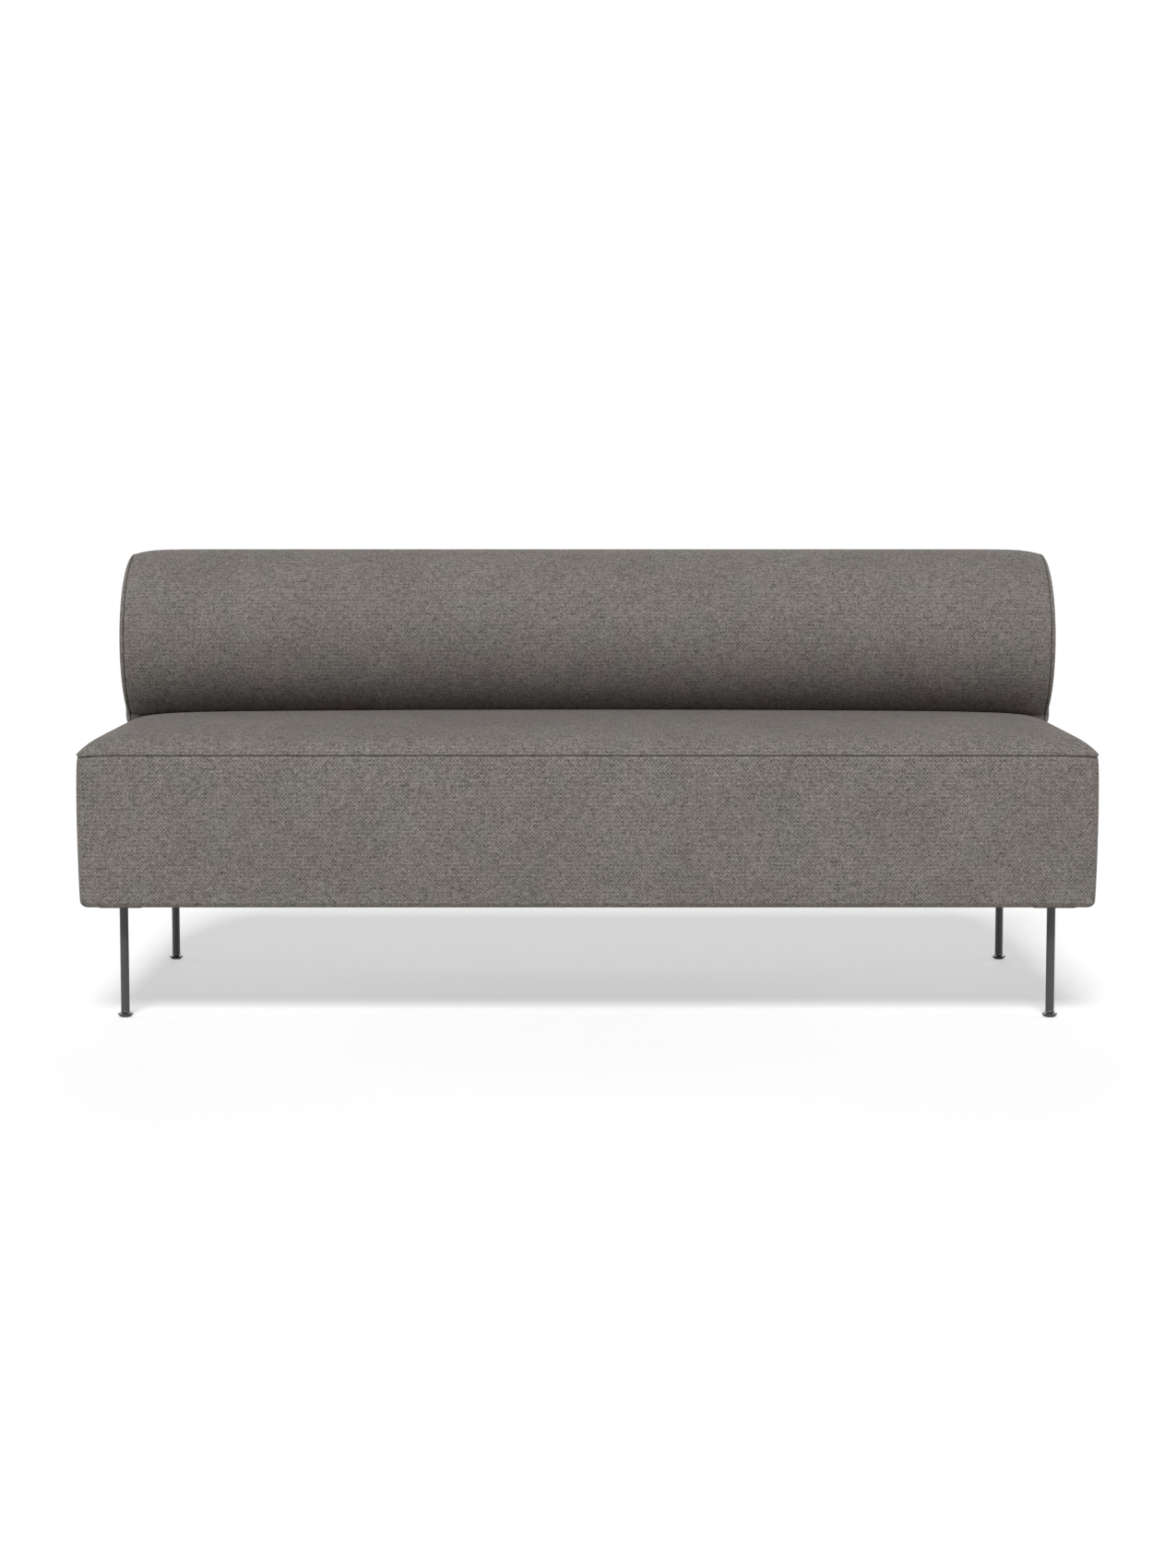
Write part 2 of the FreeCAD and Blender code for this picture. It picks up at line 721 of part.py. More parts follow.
def leg_plates():
    half = plate_size / 2
    holes = [screw(x, y, screw_clearance) for x, y in screw_places()]
    plates = []
    for sx, sy in CORNERS:
        plate = rounded_plate(half, half, plate_corner_radius, plate_z, dust_z, sx * leg_x, sy * leg_y)
        plates.append(cut_all(plate, holes))
    save("leg_plates", *plates)
    save("leg_plate_screws", *[screw(x, y, 0.0) for x, y in screw_places()])


def legs():
    bushes = []
    for sx, sy in CORNERS:
        name = "_" + END_NAMES[sy] + "_" + SIDE_NAMES[sx]
        foot = V(sx * leg_x, sy * leg_y, foot_height)
        tube_length = plate_z - foot_height
        leg = Part.makeCylinder(leg_radius, tube_length, foot)
        save("leg" + name, leg.cut(Part.makeCylinder(bush_radius, tube_length, foot)))
        bore = Part.makeCylinder(stud_radius + thread_clearance, bush_length, foot)
        bushes.append(Part.makeCylinder(bush_radius, bush_length, foot).cut(bore))
        save("foot_screw" + name, foot_screw(V(foot.x, foot.y, 0)))
        save("foot_pad" + name, foot_pad(V(foot.x, foot.y, 0)))
    save("foot_bushes", *bushes)


def foot_screw(at):
    """The threaded stud with its hexagon, and the flange that the pad snaps over."""
    hex_top = foot_height - hex_gap
    hex_z = hex_top - hex_t
    stud = Part.makeCylinder(stud_radius, stud_length + hex_gap, at + UP * hex_top)
    hexagon_block = hexagon(hex_af, hex_t, at + UP * hex_z, UP)
    flange_z = pad_floor_t + swivel_clearance
    flange = Part.makeCylinder(swivel_flange_radius, swivel_flange_t, at + UP * flange_z)
    neck = Part.makeCylinder(swivel_neck_radius, hex_z - flange_z, at + UP * flange_z)
    return stud.fuse([hexagon_block, flange, neck])


def foot_pad(at):
    """The saucer that stands on the floor, wide at its rim and narrow at its base."""
    c = swivel_clearance
    neck = swivel_neck_radius + c
    flange = swivel_flange_radius + c
    flange_top = pad_floor_t + swivel_flange_t + 2 * c
    edge = pad_top_z - pad_rim_z
    profile = [(0, 0), (pad_base_radius, 0), (pad_rim_radius, pad_rim_z), (pad_rim_radius - edge, pad_top_z)]
    profile += [(neck, pad_top_z), (neck, flange_top), (flange, flange_top), (flange, pad_floor_t), (0, pad_floor_t)]
    points = [V(x, 0, z) for x, z in profile]
    face = Part.Face(Part.makePolygon(points + [points[0]]))
    pad = face.revolve(V(0, 0, 0), UP, 360)
    pad.translate(at)
    return pad


os.makedirs("parts", exist_ok=True)
seat_rails()
cross_rails()
corner_blocks()
seat_springs()
spring_clips()
seat_layers()
border_pads()
border_cover()
dust_cover()
back_posts()
back_bolts()
back_battens()
back_formers()
back_layers()
back_ends()
leg_plates()
legs()
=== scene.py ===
import json
import math
import bmesh
import bpy
import numpy as np
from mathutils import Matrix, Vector


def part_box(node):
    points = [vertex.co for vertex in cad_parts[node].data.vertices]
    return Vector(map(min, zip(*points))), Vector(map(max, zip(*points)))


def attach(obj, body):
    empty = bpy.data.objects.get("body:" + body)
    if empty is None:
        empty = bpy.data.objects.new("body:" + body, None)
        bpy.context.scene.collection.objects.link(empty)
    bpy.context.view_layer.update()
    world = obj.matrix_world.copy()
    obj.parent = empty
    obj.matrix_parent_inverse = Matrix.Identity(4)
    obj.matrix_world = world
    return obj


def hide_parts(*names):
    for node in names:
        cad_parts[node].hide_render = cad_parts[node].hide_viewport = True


# Dining sofa: a box seat on four thin steel legs, with a full-length round back roll and no arms.
# Metres, in the frame of the CAD model: X along the sofa, the front faces -Y, the floor is z = 0.
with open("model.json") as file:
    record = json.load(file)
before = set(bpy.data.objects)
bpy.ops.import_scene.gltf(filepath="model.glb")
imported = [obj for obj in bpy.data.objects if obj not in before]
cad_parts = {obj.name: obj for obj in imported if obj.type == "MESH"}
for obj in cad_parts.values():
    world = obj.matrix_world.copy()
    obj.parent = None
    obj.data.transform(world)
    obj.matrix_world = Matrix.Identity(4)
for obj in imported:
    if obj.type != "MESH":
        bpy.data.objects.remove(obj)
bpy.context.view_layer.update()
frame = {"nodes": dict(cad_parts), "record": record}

# Seat, outside the fabric
seat_half_x = 0.815
seat_half_y = 0.335
underside_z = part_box("seat_border_cover")[0].z
seam_z = 0.434
corner_radius = 0.014
bottom_radius = 0.011
side_bulge = 0.005
side_bow = 0.004
least_bow = 0.0003
crown_rise = 0.037
crown_run = 0.021
crown_front_run = 0.016
crown_dome = 0.005
crown_peak_y = 0.045
crown_power = 0.7
crown_corner_fill = 0.55
crown_fill_run = 0.12
press_blend = 0.0015

# Back roll, outside the fabric
roll_radius = 0.158
roll_half = 0.8
roll_end_draw = 0.0058
roll_end_drop = 0.0017
roll_draw_length = 0.022
roll_y = 0.173
roll_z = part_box("back_front_cover")[1].z - roll_radius
neck_y = 0.084
back_base_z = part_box("back_front_cover")[0].z
rear_seam_rise = 0.006
rear_recess = 0.0027
rear_swell = 0.0012
end_bulge = 0.0158
end_turn = 0.0098
end_turn_inset = 0.024

# The back's outline: steps round the roll, points up to the end of its round part with the three
# of the neck and the start, and the point along which the cloth is laid out
round_steps = 110
round_points = round_steps + 3
cloth_line = 60

# Fabric, seams and clearances
cover_t = 0.0015
clear = 0.0003
seam_half_gap = 0.0004
seam_tuck = 0.0035
lip_radius = 0.0016
lip_stand = 0.0022
lip_run = 0.007
ear_radius = 0.0024
ear_stand = 0.003
ear_run = 0.035
seam_droop = 0.0036
seam_droop_run = 0.026
hem_depth = 0.025
pucker = 0.0004
pucker_run = 0.014
closing_seam_inset = 0.03
closing_seam_depth = 0.0013
closing_seam_width = 0.0011

# Cloth simulation: every how many points it runs on, its steps and the grades of holding
cloth_every = 3
cloth_steps = 20
hold_grades = 20

# The most that a point of each swelled cover moves, the pressure under it and its growth
seat_top_cap = 0.0022
seat_top_pressure = 0.1
border_cap = 0.0014
border_pressure = 0.2
roll_cap = 0.0018
roll_pressure = 4.0
roll_growth = 0.001

# Distances between the points of a mesh
seat_step = 0.008
roll_step = 0.01
flat_step = 0.012

# Dust cover and its staples
sheet_inset = 0.012
sheet_fold = 0.014
sheet_t = 0.00035
sheet_sag = 0.0045
sheet_gap = 0.00005
staple_pitch = 0.055
staple_half = 0.005
staple_wire = 0.0003
staple_corner = 0.03
staple_tilt = 0.15

# Legs and feet. Turned pieces have a fine hole along their axis
core_radius = 0.0004
leg_inset = 0.06
leg_radius = 0.007
plate_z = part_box("leg_plates")[0].z
plate_half = 0.035
hole_half_pitch = 0.022
screw_head_radius = 0.0044
screw_radius = 0.0022
foot_height = 0.0115
stud_radius = 0.00395
stud_top_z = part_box("foot_screw_front_left")[1].z
thread_pitch = 0.00125
thread_depth = 0.0007
hex_half_flats = 0.0068
hex_height = 0.0046
hex_gap = 0.0003

# Weave: pairs of yarns that cross over and under
cell_x = 0.00305
cell_y = 0.00319

WORDS_X = {-1: "left", 1: "right"}
WORDS_Y = {-1: "front", 1: "rear"}
CORNERS = [(sx, sy) for sy in (-1, 1) for sx in (-1, 1)]


# Materials

class Nodes:
    """Builds a material or a world from nodes."""

    def __init__(self, name, kept_in=bpy.data.materials):
        self.made = kept_in.new(name)
        self.made.use_nodes = True
        self.tree = self.made.node_tree
        self.shader = self.tree.nodes.get("Principled BSDF")

    def add(self, kind, inputs=(), **settings):
        node = self.tree.nodes.new(kind)
        for key, value in settings.items():
            setattr(node, key, value)
        for key, value in dict(inputs).items():
            self.put(node.inputs[key], value)
        return node

    def put(self, socket, value):
        if isinstance(value, bpy.types.NodeSocket):
            self.tree.links.new(value, socket)
        else:
            socket.default_value = value

    def math(self, operation, *values):
        node = self.add("ShaderNodeMath", operation=operation)
        for socket, value in zip(node.inputs, values):
            self.put(socket, value)
        return node.outputs[0]

    def vector(self, x, y, z=0.0):
        return self.add("ShaderNodeCombineXYZ", {"X": x, "Y": y, "Z": z}).outputs[0]

    def split(self, vector):
        return self.add("ShaderNodeSeparateXYZ", {0: vector}).outputs

    def noise(self, vector, scale=1.0, detail=0.0, roughness=0.5, distortion=0.0):
        values = {"Vector": vector, "Scale": scale, "Detail": detail}
        values.update({"Roughness": roughness, "Distortion": distortion})
        return self.add("ShaderNodeTexNoise", values).outputs["Fac"]

    def speckle(self, vector):
        return self.add("ShaderNodeTexWhiteNoise", {"Vector": vector}).outputs["Value"]

    def spread(self, value, low, high, to_low, to_high):
        values = {"Value": value, "From Min": low, "From Max": high, "To Min": to_low, "To Max": to_high}
        return self.add("ShaderNodeMapRange", values, interpolation_type="SMOOTHSTEP").outputs[0]

    def choose(self, share, a, b):
        """A number between two others."""
        node = self.add("ShaderNodeMix", data_type="FLOAT")
        for socket, value in zip((node.inputs[0], node.inputs[2], node.inputs[3]), (share, a, b)):
            self.put(socket, value)
        return node.outputs[0]

    def blend(self, share, a, b):
        """A colour between two others."""
        node = self.add("ShaderNodeMix", data_type="RGBA")
        for socket, value in zip((node.inputs[0], node.inputs[6], node.inputs[7]), (share, a, b)):
            self.put(socket, value)
        return node.outputs[2]

    def scaled(self, colour, amount):
        """A colour times a number."""
        values = {0: colour, 1: self.vector(amount, amount, amount)}
        return self.add("ShaderNodeVectorMath", values, operation="MULTIPLY").outputs[0]

    def bump(self, height, distance, strength=1.0):
        values = {"Height": height, "Distance": distance, "Strength": strength}
        return self.add("ShaderNodeBump", values).outputs["Normal"]

    def finish(self, **sockets):
        for key, value in sockets.items():
            self.put(self.shader.inputs[key.replace("_", " ")], value)
        return self.made


def linear(red, green, blue):
    """A colour given as 8-bit screen values, as the shader wants it."""
    parts = [c / 255 for c in (red, green, blue)]
    return [((c + 0.055) / 1.055) ** 2.4 if c > 0.04045 else c / 12.92 for c in parts] + [1.0]


def place(nodes):
    """Where a point lies in the object, in metres."""
    return nodes.add("ShaderNodeTexCoord").outputs["Object"]


def woven_fabric():
    """Heathered basket weave: yarns in pairs, light flecks, thin streaks, a faint mottle and painted shade in
    the hollows between the yarns.
    """
    n = Nodes("woven_fabric")
    cloth = n.split(n.add("ShaderNodeUVMap", uv_map="cloth").outputs[0])
    u = n.math("DIVIDE", cloth[0], cell_x)
    v = n.math("DIVIDE", cloth[1], cell_y)
    wander = n.noise(n.vector(u, v), 0.3, 2.0)
    drift = n.noise(n.vector(v, u, 7.0), 0.3, 2.0)
    u = n.math("MULTIPLY_ADD", wander, 0.5, u)
    v = n.math("MULTIPLY_ADD", drift, 0.5, v)
    column = n.math("FLOOR", u)
    row = n.math("FLOOR", v)
    across = n.math("FRACT", u)
    up = n.math("FRACT", v)
    warp_over = n.math("FLOORED_MODULO", n.math("ADD", column, row), 2.0)
    dark_pick = n.math("FLOORED_MODULO", row, 2.0)

    def ridge(share, count):
        """Rounded tops of one or more yarns side by side."""
        turns = n.math("MULTIPLY", share, math.pi * count)
        return n.math("POWER", n.math("ABSOLUTE", n.math("SINE", turns)), 0.7)

    warp_height = n.math("MULTIPLY", ridge(across, 2), ridge(up, 1))
    weft_height = n.math("MULTIPLY", ridge(up, 2), ridge(across, 1))
    height = n.choose(warp_over, weft_height, warp_height)

    fleck = n.math("POWER", n.speckle(n.vector(column, row)), 2.0)
    slubs = [n.math("FLOOR", n.math("MULTIPLY", along, 2.0)) for along in (u, v)]
    slub = n.speckle(n.vector(slubs[0], slubs[1], 5.0))
    pick = n.noise(n.vector(n.math("MULTIPLY", u, 0.22), n.math("MULTIPLY", row, 5.3)), 1.0, 2.0)
    end = n.noise(n.vector(n.math("MULTIPLY", column, 5.3), n.math("MULTIPLY", v, 0.16), 3.0), 1.0, 2.0)
    tone = n.math("MULTIPLY_ADD", warp_over, 0.29, 0.37)
    tone = n.math("MULTIPLY_ADD", dark_pick, 0.13, tone)
    tone = n.math("MULTIPLY_ADD", fleck, 0.2, tone)
    tone = n.math("MULTIPLY_ADD", slub, 0.85, tone)
    tone = n.math("ADD", tone, n.spread(pick, 0.32, 0.68, -0.13, 0.13))
    tone = n.math("ADD", tone, n.spread(end, 0.3, 0.7, -0.06, 0.06))
    # painted shade: the colour darkens where the yarns dip into the hollows of the weave, on top of the
    # shading that the bump gives
    tone = n.math("MULTIPLY", tone, n.spread(height, 0.0, 0.8, 0.66, 1.08))
    mottle = n.noise(place(n), 9.0, 2.0)
    tone = n.math("MULTIPLY", tone, n.spread(mottle, 0.25, 0.75, 0.95, 1.05))
    tint = n.noise(place(n), 14.0, 1.0)
    colour = n.blend(tint, linear(127, 119, 116), linear(121, 119, 114))
    fibres = n.noise(n.vector(u, v, 11.0), 6.0, 1.0)
    relief = n.math("MULTIPLY_ADD", fibres, 0.15, height)
    return n.finish(Base_Color=n.scaled(colour, tone), Roughness=n.spread(height, 0.0, 1.0, 0.98, 0.88),
                    Normal=n.bump(relief, 0.0005, 0.5), Sheen_Weight=0.02, Sheen_Roughness=0.6,
                    Specular_IOR_Level=0.06)


def leg_steel():
    """Dark satin finish on drawn steel: faint upright lines, a fine orange peel and a few rubbed spots."""
    n = Nodes("leg_steel")
    x, y, z = n.split(place(n))
    lines = n.noise(n.vector(n.math("MULTIPLY", x, 900.0), n.math("MULTIPLY", y, 900.0),
                             n.math("MULTIPLY", z, 25.0)), 1.0, 2.0)
    peel = n.noise(place(n), 1800.0, 1.0)
    rubbed = n.noise(place(n), 60.0, 3.0)
    colour = n.blend(lines, linear(66, 66, 67), linear(78, 78, 79))
    colour = n.blend(n.spread(rubbed, 0.62, 0.8, 0.0, 0.2), colour, linear(112, 112, 112))
    rough = n.math("MULTIPLY_ADD", lines, 0.12, 0.38)
    return n.finish(Base_Color=colour, Metallic=0.35, Roughness=rough, Normal=n.bump(peel, 0.00004, 0.4))


def moulded_plastic(name, dark, light, roughness):
    """Plastic with a fine grain and a cloudy gloss."""
    n = Nodes(name)
    grain = n.noise(place(n), 2500.0, 2.0)
    cloud = n.noise(place(n), 120.0, 2.0)
    rough = n.math("MULTIPLY_ADD", cloud, 0.15, roughness)
    return n.finish(Base_Color=n.blend(cloud, dark, light), Roughness=rough,
                    Normal=n.bump(grain, 0.00006, 0.5))


def metal(name, dark, light, roughness):
    """A plated or drawn metal with a cloudy tone and fine scratches."""
    n = Nodes(name)
    cloud = n.noise(place(n), 90.0, 3.0)
    grain = n.noise(place(n), 1500.0, 2.0)
    rough = n.math("MULTIPLY_ADD", cloud, 0.2, roughness)
    return n.finish(Base_Color=n.blend(cloud, dark, light), Metallic=0.9, Roughness=rough,
                    Normal=n.bump(grain, 0.00005, 0.4))


def wood(name, dark, light, stretch):
    """Grain that runs along the longest way of the frame's timbers."""
    n = Nodes(name)
    x, y, z = n.split(place(n))
    spot = n.vector(n.math("MULTIPLY", x, stretch), n.math("MULTIPLY", y, 40.0), n.math("MULTIPLY", z, 40.0))
    rings = n.noise(spot, 1.0, 3.0, 0.6, 1.2)
    pores = n.noise(spot, 14.0, 2.0)
    colour = n.blend(n.spread(rings, 0.3, 0.7, 0.0, 1.0), dark, light)
    colour = n.blend(n.spread(pores, 0.55, 0.8, 0.0, 0.3), colour, dark)
    return n.finish(Base_Color=colour, Roughness=0.62, Normal=n.bump(pores, 0.0002, 0.4))


def soft_stuff(name, dark, light, scale):
    """Foam, wadding or felt inside the sofa."""
    n = Nodes(name)
    cells = n.noise(place(n), scale, 3.0, 0.7)
    cloud = n.noise(place(n), 12.0, 2.0)
    share = n.math("MULTIPLY_ADD", cells, 0.6, n.math("MULTIPLY", cloud, 0.4))
    return n.finish(Base_Color=n.blend(share, dark, light), Roughness=0.95, Normal=n.bump(cells, 0.0004, 0.5))


def dust_cloth():
    """Thin pressed cloth with a fine grid of bonding points."""
    n = Nodes("dust_cloth")
    x, y, _ = n.split(place(n))
    grid = [n.math("ABSOLUTE", n.math("SINE", n.math("MULTIPLY", way, 1400.0))) for way in (x, y)]
    dots = n.math("MULTIPLY", grid[0], grid[1])
    fibres = n.noise(place(n), 700.0, 3.0)
    share = n.math("MULTIPLY_ADD", dots, 0.3, n.math("MULTIPLY", fibres, 0.6))
    relief = n.math("MULTIPLY_ADD", dots, 0.6, fibres)
    return n.finish(Base_Color=n.blend(share, linear(46, 46, 47), linear(76, 75, 75)), Roughness=0.93,
                    Normal=n.bump(relief, 0.0002, 0.5))


FINISHES = {
    "seat_fabric": woven_fabric(),
    "foam": soft_stuff("foam", linear(196, 186, 150), linear(224, 216, 184), 500.0),
    "wadding": soft_stuff("wadding", linear(214, 214, 210), linear(240, 240, 236), 220.0),
    "spring_felt": soft_stuff("spring_felt", linear(84, 84, 86), linear(136, 132, 128), 300.0),
    "dust_cloth": dust_cloth(),
    "timber": wood("timber", linear(170, 128, 84), linear(206, 168, 120), 3.0),
    "plywood": wood("plywood", linear(176, 138, 92), linear(214, 180, 134), 12.0),
    "board": wood("board", linear(120, 88, 60), linear(150, 114, 82), 25.0),
    "spring_steel": metal("spring_steel", linear(96, 96, 98), linear(130, 131, 134), 0.34),
    "zinc_steel": metal("zinc_steel", linear(80, 80, 82), linear(106, 106, 108), 0.34),
    "leg_steel": leg_steel(),
    "foot_plastic": moulded_plastic("foot_plastic", linear(46, 45, 45), linear(60, 59, 58), 0.42),
    "clip_plastic": moulded_plastic("clip_plastic", linear(210, 208, 200), linear(228, 226, 220), 0.4),
}


def dress(obj, material):
    obj.data.materials.clear()
    obj.data.materials.append(material)


def dress_frame():
    """Every node carried over from the CAD model takes the finish of its slot.

    The springs' mesh is joined along its seams and thinned out, so that it exports closed."""
    for part in frame["record"]["subparts"]:
        dress(frame["nodes"][part["node"]], FINISHES[part["material_slot"]])
    springs = bpy.data.objects["seat_springs"]
    springs.modifiers.new("joined", "WELD").merge_threshold = 1e-6
    springs.modifiers.new("lighter", "DECIMATE").ratio = 0.5


# Mesh helpers

def make_piece(name, points, faces, slot, body="sofa", face_uvs=None):
    """A smooth closed piece of one finish. face_uvs holds one (u, v) in metres for each face corner."""
    mesh = bpy.data.meshes.new(name)
    mesh.from_pydata(points, [], faces)
    if face_uvs is not None:
        layer = mesh.uv_layers.new(name="cloth")
        layer.data.foreach_set("uv", np.asarray(face_uvs, np.float32).ravel())
    tidy = bmesh.new()
    tidy.from_mesh(mesh)
    bmesh.ops.recalc_face_normals(tidy, faces=tidy.faces)
    tidy.to_mesh(mesh)
    tidy.free()
    mesh.shade_smooth()
    obj = bpy.data.objects.new(name, mesh)
    bpy.context.scene.collection.objects.link(obj)
    dress(obj, FINISHES[slot])
    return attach(obj, body)


def strip_faces(rows, count, torus=False):
    """Quads between rings of points, with caps at both ends unless the rings run round as a torus."""
    i, j = np.meshgrid(np.arange(rows if torus else rows - 1), np.arange(count), indexing="ij")
    below = (i + 1) % rows
    after = (j + 1) % count
    quads = np.stack([i * count + j, i * count + after, below * count + after, below * count + j], -1)
    faces = quads.reshape(-1, 4).tolist()
    if not torus:
        faces += [list(range(count)), list(range((rows - 1) * count, rows * count))]
    return faces


def shell(name, rings, uv, torus=False):
    """A fabric piece through rings of points. uv has one column more than the rings."""
    rows, count = rings.shape[:2]
    i, j = np.meshgrid(np.arange(rows if torus else rows - 1), np.arange(count), indexing="ij")
    face_uvs = np.stack([uv[i, j], uv[i, j + 1], uv[i + 1, j + 1], uv[i + 1, j]], 2).reshape(-1, 2)
    if not torus:
        face_uvs = np.concatenate([face_uvs, uv[0, :count], uv[rows - 1, :count]])
    faces = strip_faces(rows, count, torus)
    return make_piece(name, rings.reshape(-1, 3).tolist(), faces, "seat_fabric", "sofa", face_uvs)


def small_parts(name, parts, slot, body="sofa"):
    """One piece from one or more stacks of rings, such as a set of screws."""
    points = []
    faces = []
    for rings in parts:
        start = len(points)
        points += rings.reshape(-1, 3).tolist()
        faces += [[start + k for k in face] for face in strip_faces(*rings.shape[:2])]
    return make_piece(name, points, faces, slot, body)


def sharpen(obj, angle):
    """Faces that meet at more than an angle keep a crisp edge."""
    obj.data.set_sharp_from_angle(angle=math.radians(angle))
    return obj


def turned(centre, profile, count):
    """Rings round an upright axis. Each radius is a number or one number for each angle."""
    angles = 2 * math.pi * np.arange(count) / count
    rings = []
    for radius, z in profile:
        flat = np.stack([np.cos(angles), np.sin(angles)], -1) * np.broadcast_to(radius, count)[:, None]
        rings.append(np.column_stack([flat + centre, np.full(count, z)]))
    return np.array(rings)


def quarter(count):
    """How far in and how far up, from 0 to 1, along a quarter circle that turns from upright to level."""
    turns = [math.radians(90 * k / count) for k in range(count + 1)]
    return [(1 - math.cos(turn), math.sin(turn)) for turn in turns]


def lengths(points):
    """How far along a row of points each of them is."""
    steps = np.linalg.norm(np.diff(points, axis=0), axis=-1)
    return np.concatenate([[0.0], np.cumsum(steps)])


def ripple(t, low, high, seed):
    """An even, random-looking wave along a length, from -1 to 1, with low to high waves a metre."""
    dice = np.random.default_rng(seed)
    rates = dice.uniform(low, high, 7)
    phases = dice.uniform(0, 2 * math.pi, 7)
    return sum(np.sin(2 * math.pi * rate * t + phase) for rate, phase in zip(rates, phases)) / 4


def round_corners(x, y, half_x, half_y, radius):
    """Points of a rectangle, moved so that it gets round corners, and the outward way at each point."""
    past_x = np.maximum(np.abs(x) - (half_x - radius), 0)
    past_y = np.maximum(np.abs(y) - (half_y - radius), 0)
    far = np.maximum(np.maximum(past_x, past_y), 1e-9)
    turn = math.pi / 4 * np.minimum(past_x, past_y) / far
    x_first = past_x >= past_y
    out_x = np.where(x_first, np.cos(turn), np.sin(turn))
    out_y = np.where(x_first, np.sin(turn), np.cos(turn))
    in_corner = (past_x > 0) & (past_y > 0)
    new_x = np.where(in_corner, half_x - radius + far * out_x, np.abs(x))
    new_y = np.where(in_corner, half_y - radius + far * out_y, np.abs(y))
    return np.sign(x) * new_x, np.sign(y) * new_y, np.sign(x) * out_x, np.sign(y) * out_y


def spaced(low, high, step):
    """Even places from low to high, both ends left out."""
    count = max(2, round((high - low) / step))
    return [low + (high - low) * k / count for k in range(1, count)]


def both_ends(half, near, step):
    """Places from -half to half, with the same distances near both ends."""
    right = [half - d for d in near]
    return [-p for p in right] + spaced(-right[-1], right[-1], step) + list(reversed(right))


def rim(columns, rows):
    """Indices of a grid's outer points, in order."""
    path = [(i, 0) for i in range(columns)] + [(columns - 1, j) for j in range(1, rows)]
    path += [(i, rows - 1) for i in reversed(range(columns - 1))]
    path += [(0, j) for j in reversed(range(1, rows - 1))]
    return np.array(path)


def grid_faces(columns, rows, start=0):
    i, j = np.meshgrid(np.arange(columns - 1), np.arange(rows - 1), indexing="ij")
    first = start + i * rows + j
    return np.stack([first, first + rows, first + rows + 1, first + 1], -1).reshape(-1, 4).tolist()


def grid_uvs(uv):
    return np.stack([uv[:-1, :-1], uv[1:, :-1], uv[1:, 1:], uv[:-1, 1:]], 2).reshape(-1, 2)


def wall_faces(first, second):
    """Quads between two loops of points."""
    return [[a, b, d, c] for a, b, c, d in zip(first, np.roll(first, -1), second, np.roll(second, -1))]


def wall_uvs(first, second):
    return np.stack([first, np.roll(first, -1, 0), np.roll(second, -1, 0), second], 1).reshape(-1, 2)


def spread_flat(grid):
    """Cloth coordinates over a grid of points: how far each lies from the middle, along both ways."""
    columns, rows = grid.shape[:2]
    u = np.stack([lengths(grid[:, j]) for j in range(rows)], 1)
    v = np.stack([lengths(grid[i]) for i in range(columns)])
    return np.stack([u - u[columns // 2], v - v[:, rows // 2][:, None]], -1)


def slab(name, upper, lower, slot):
    """A closed sheet between two grids of points."""
    columns, rows = upper.shape[:2]
    path = rim(columns, rows)
    edge = path[:, 0] * rows + path[:, 1]
    faces = grid_faces(columns, rows) + grid_faces(columns, rows, columns * rows)
    faces += np.array(wall_faces(edge, edge + columns * rows)).tolist()
    uv = spread_flat(upper)
    edge_uv = uv[path[:, 0], path[:, 1]]
    face_uvs = np.concatenate([grid_uvs(uv), grid_uvs(uv), wall_uvs(edge_uv, edge_uv)])
    points = np.concatenate([upper.reshape(-1, 3), lower.reshape(-1, 3)])
    return make_piece(name, points.tolist(), faces, slot, "sofa", face_uvs)


def curve_weights(count, picked):
    """How much each picked place counts at every place between them, for a smooth surface near them all."""
    where = np.interp(np.arange(count), picked, np.arange(len(picked)))
    far = np.abs(where[:, None] - np.arange(len(picked))[None, :])
    near = 2 / 3 - far ** 2 + far ** 3 / 2
    weights = np.where(far < 1, near, np.where(far < 2, (2 - far) ** 3 / 6, 0))
    return weights / weights.sum(axis=1, keepdims=True)


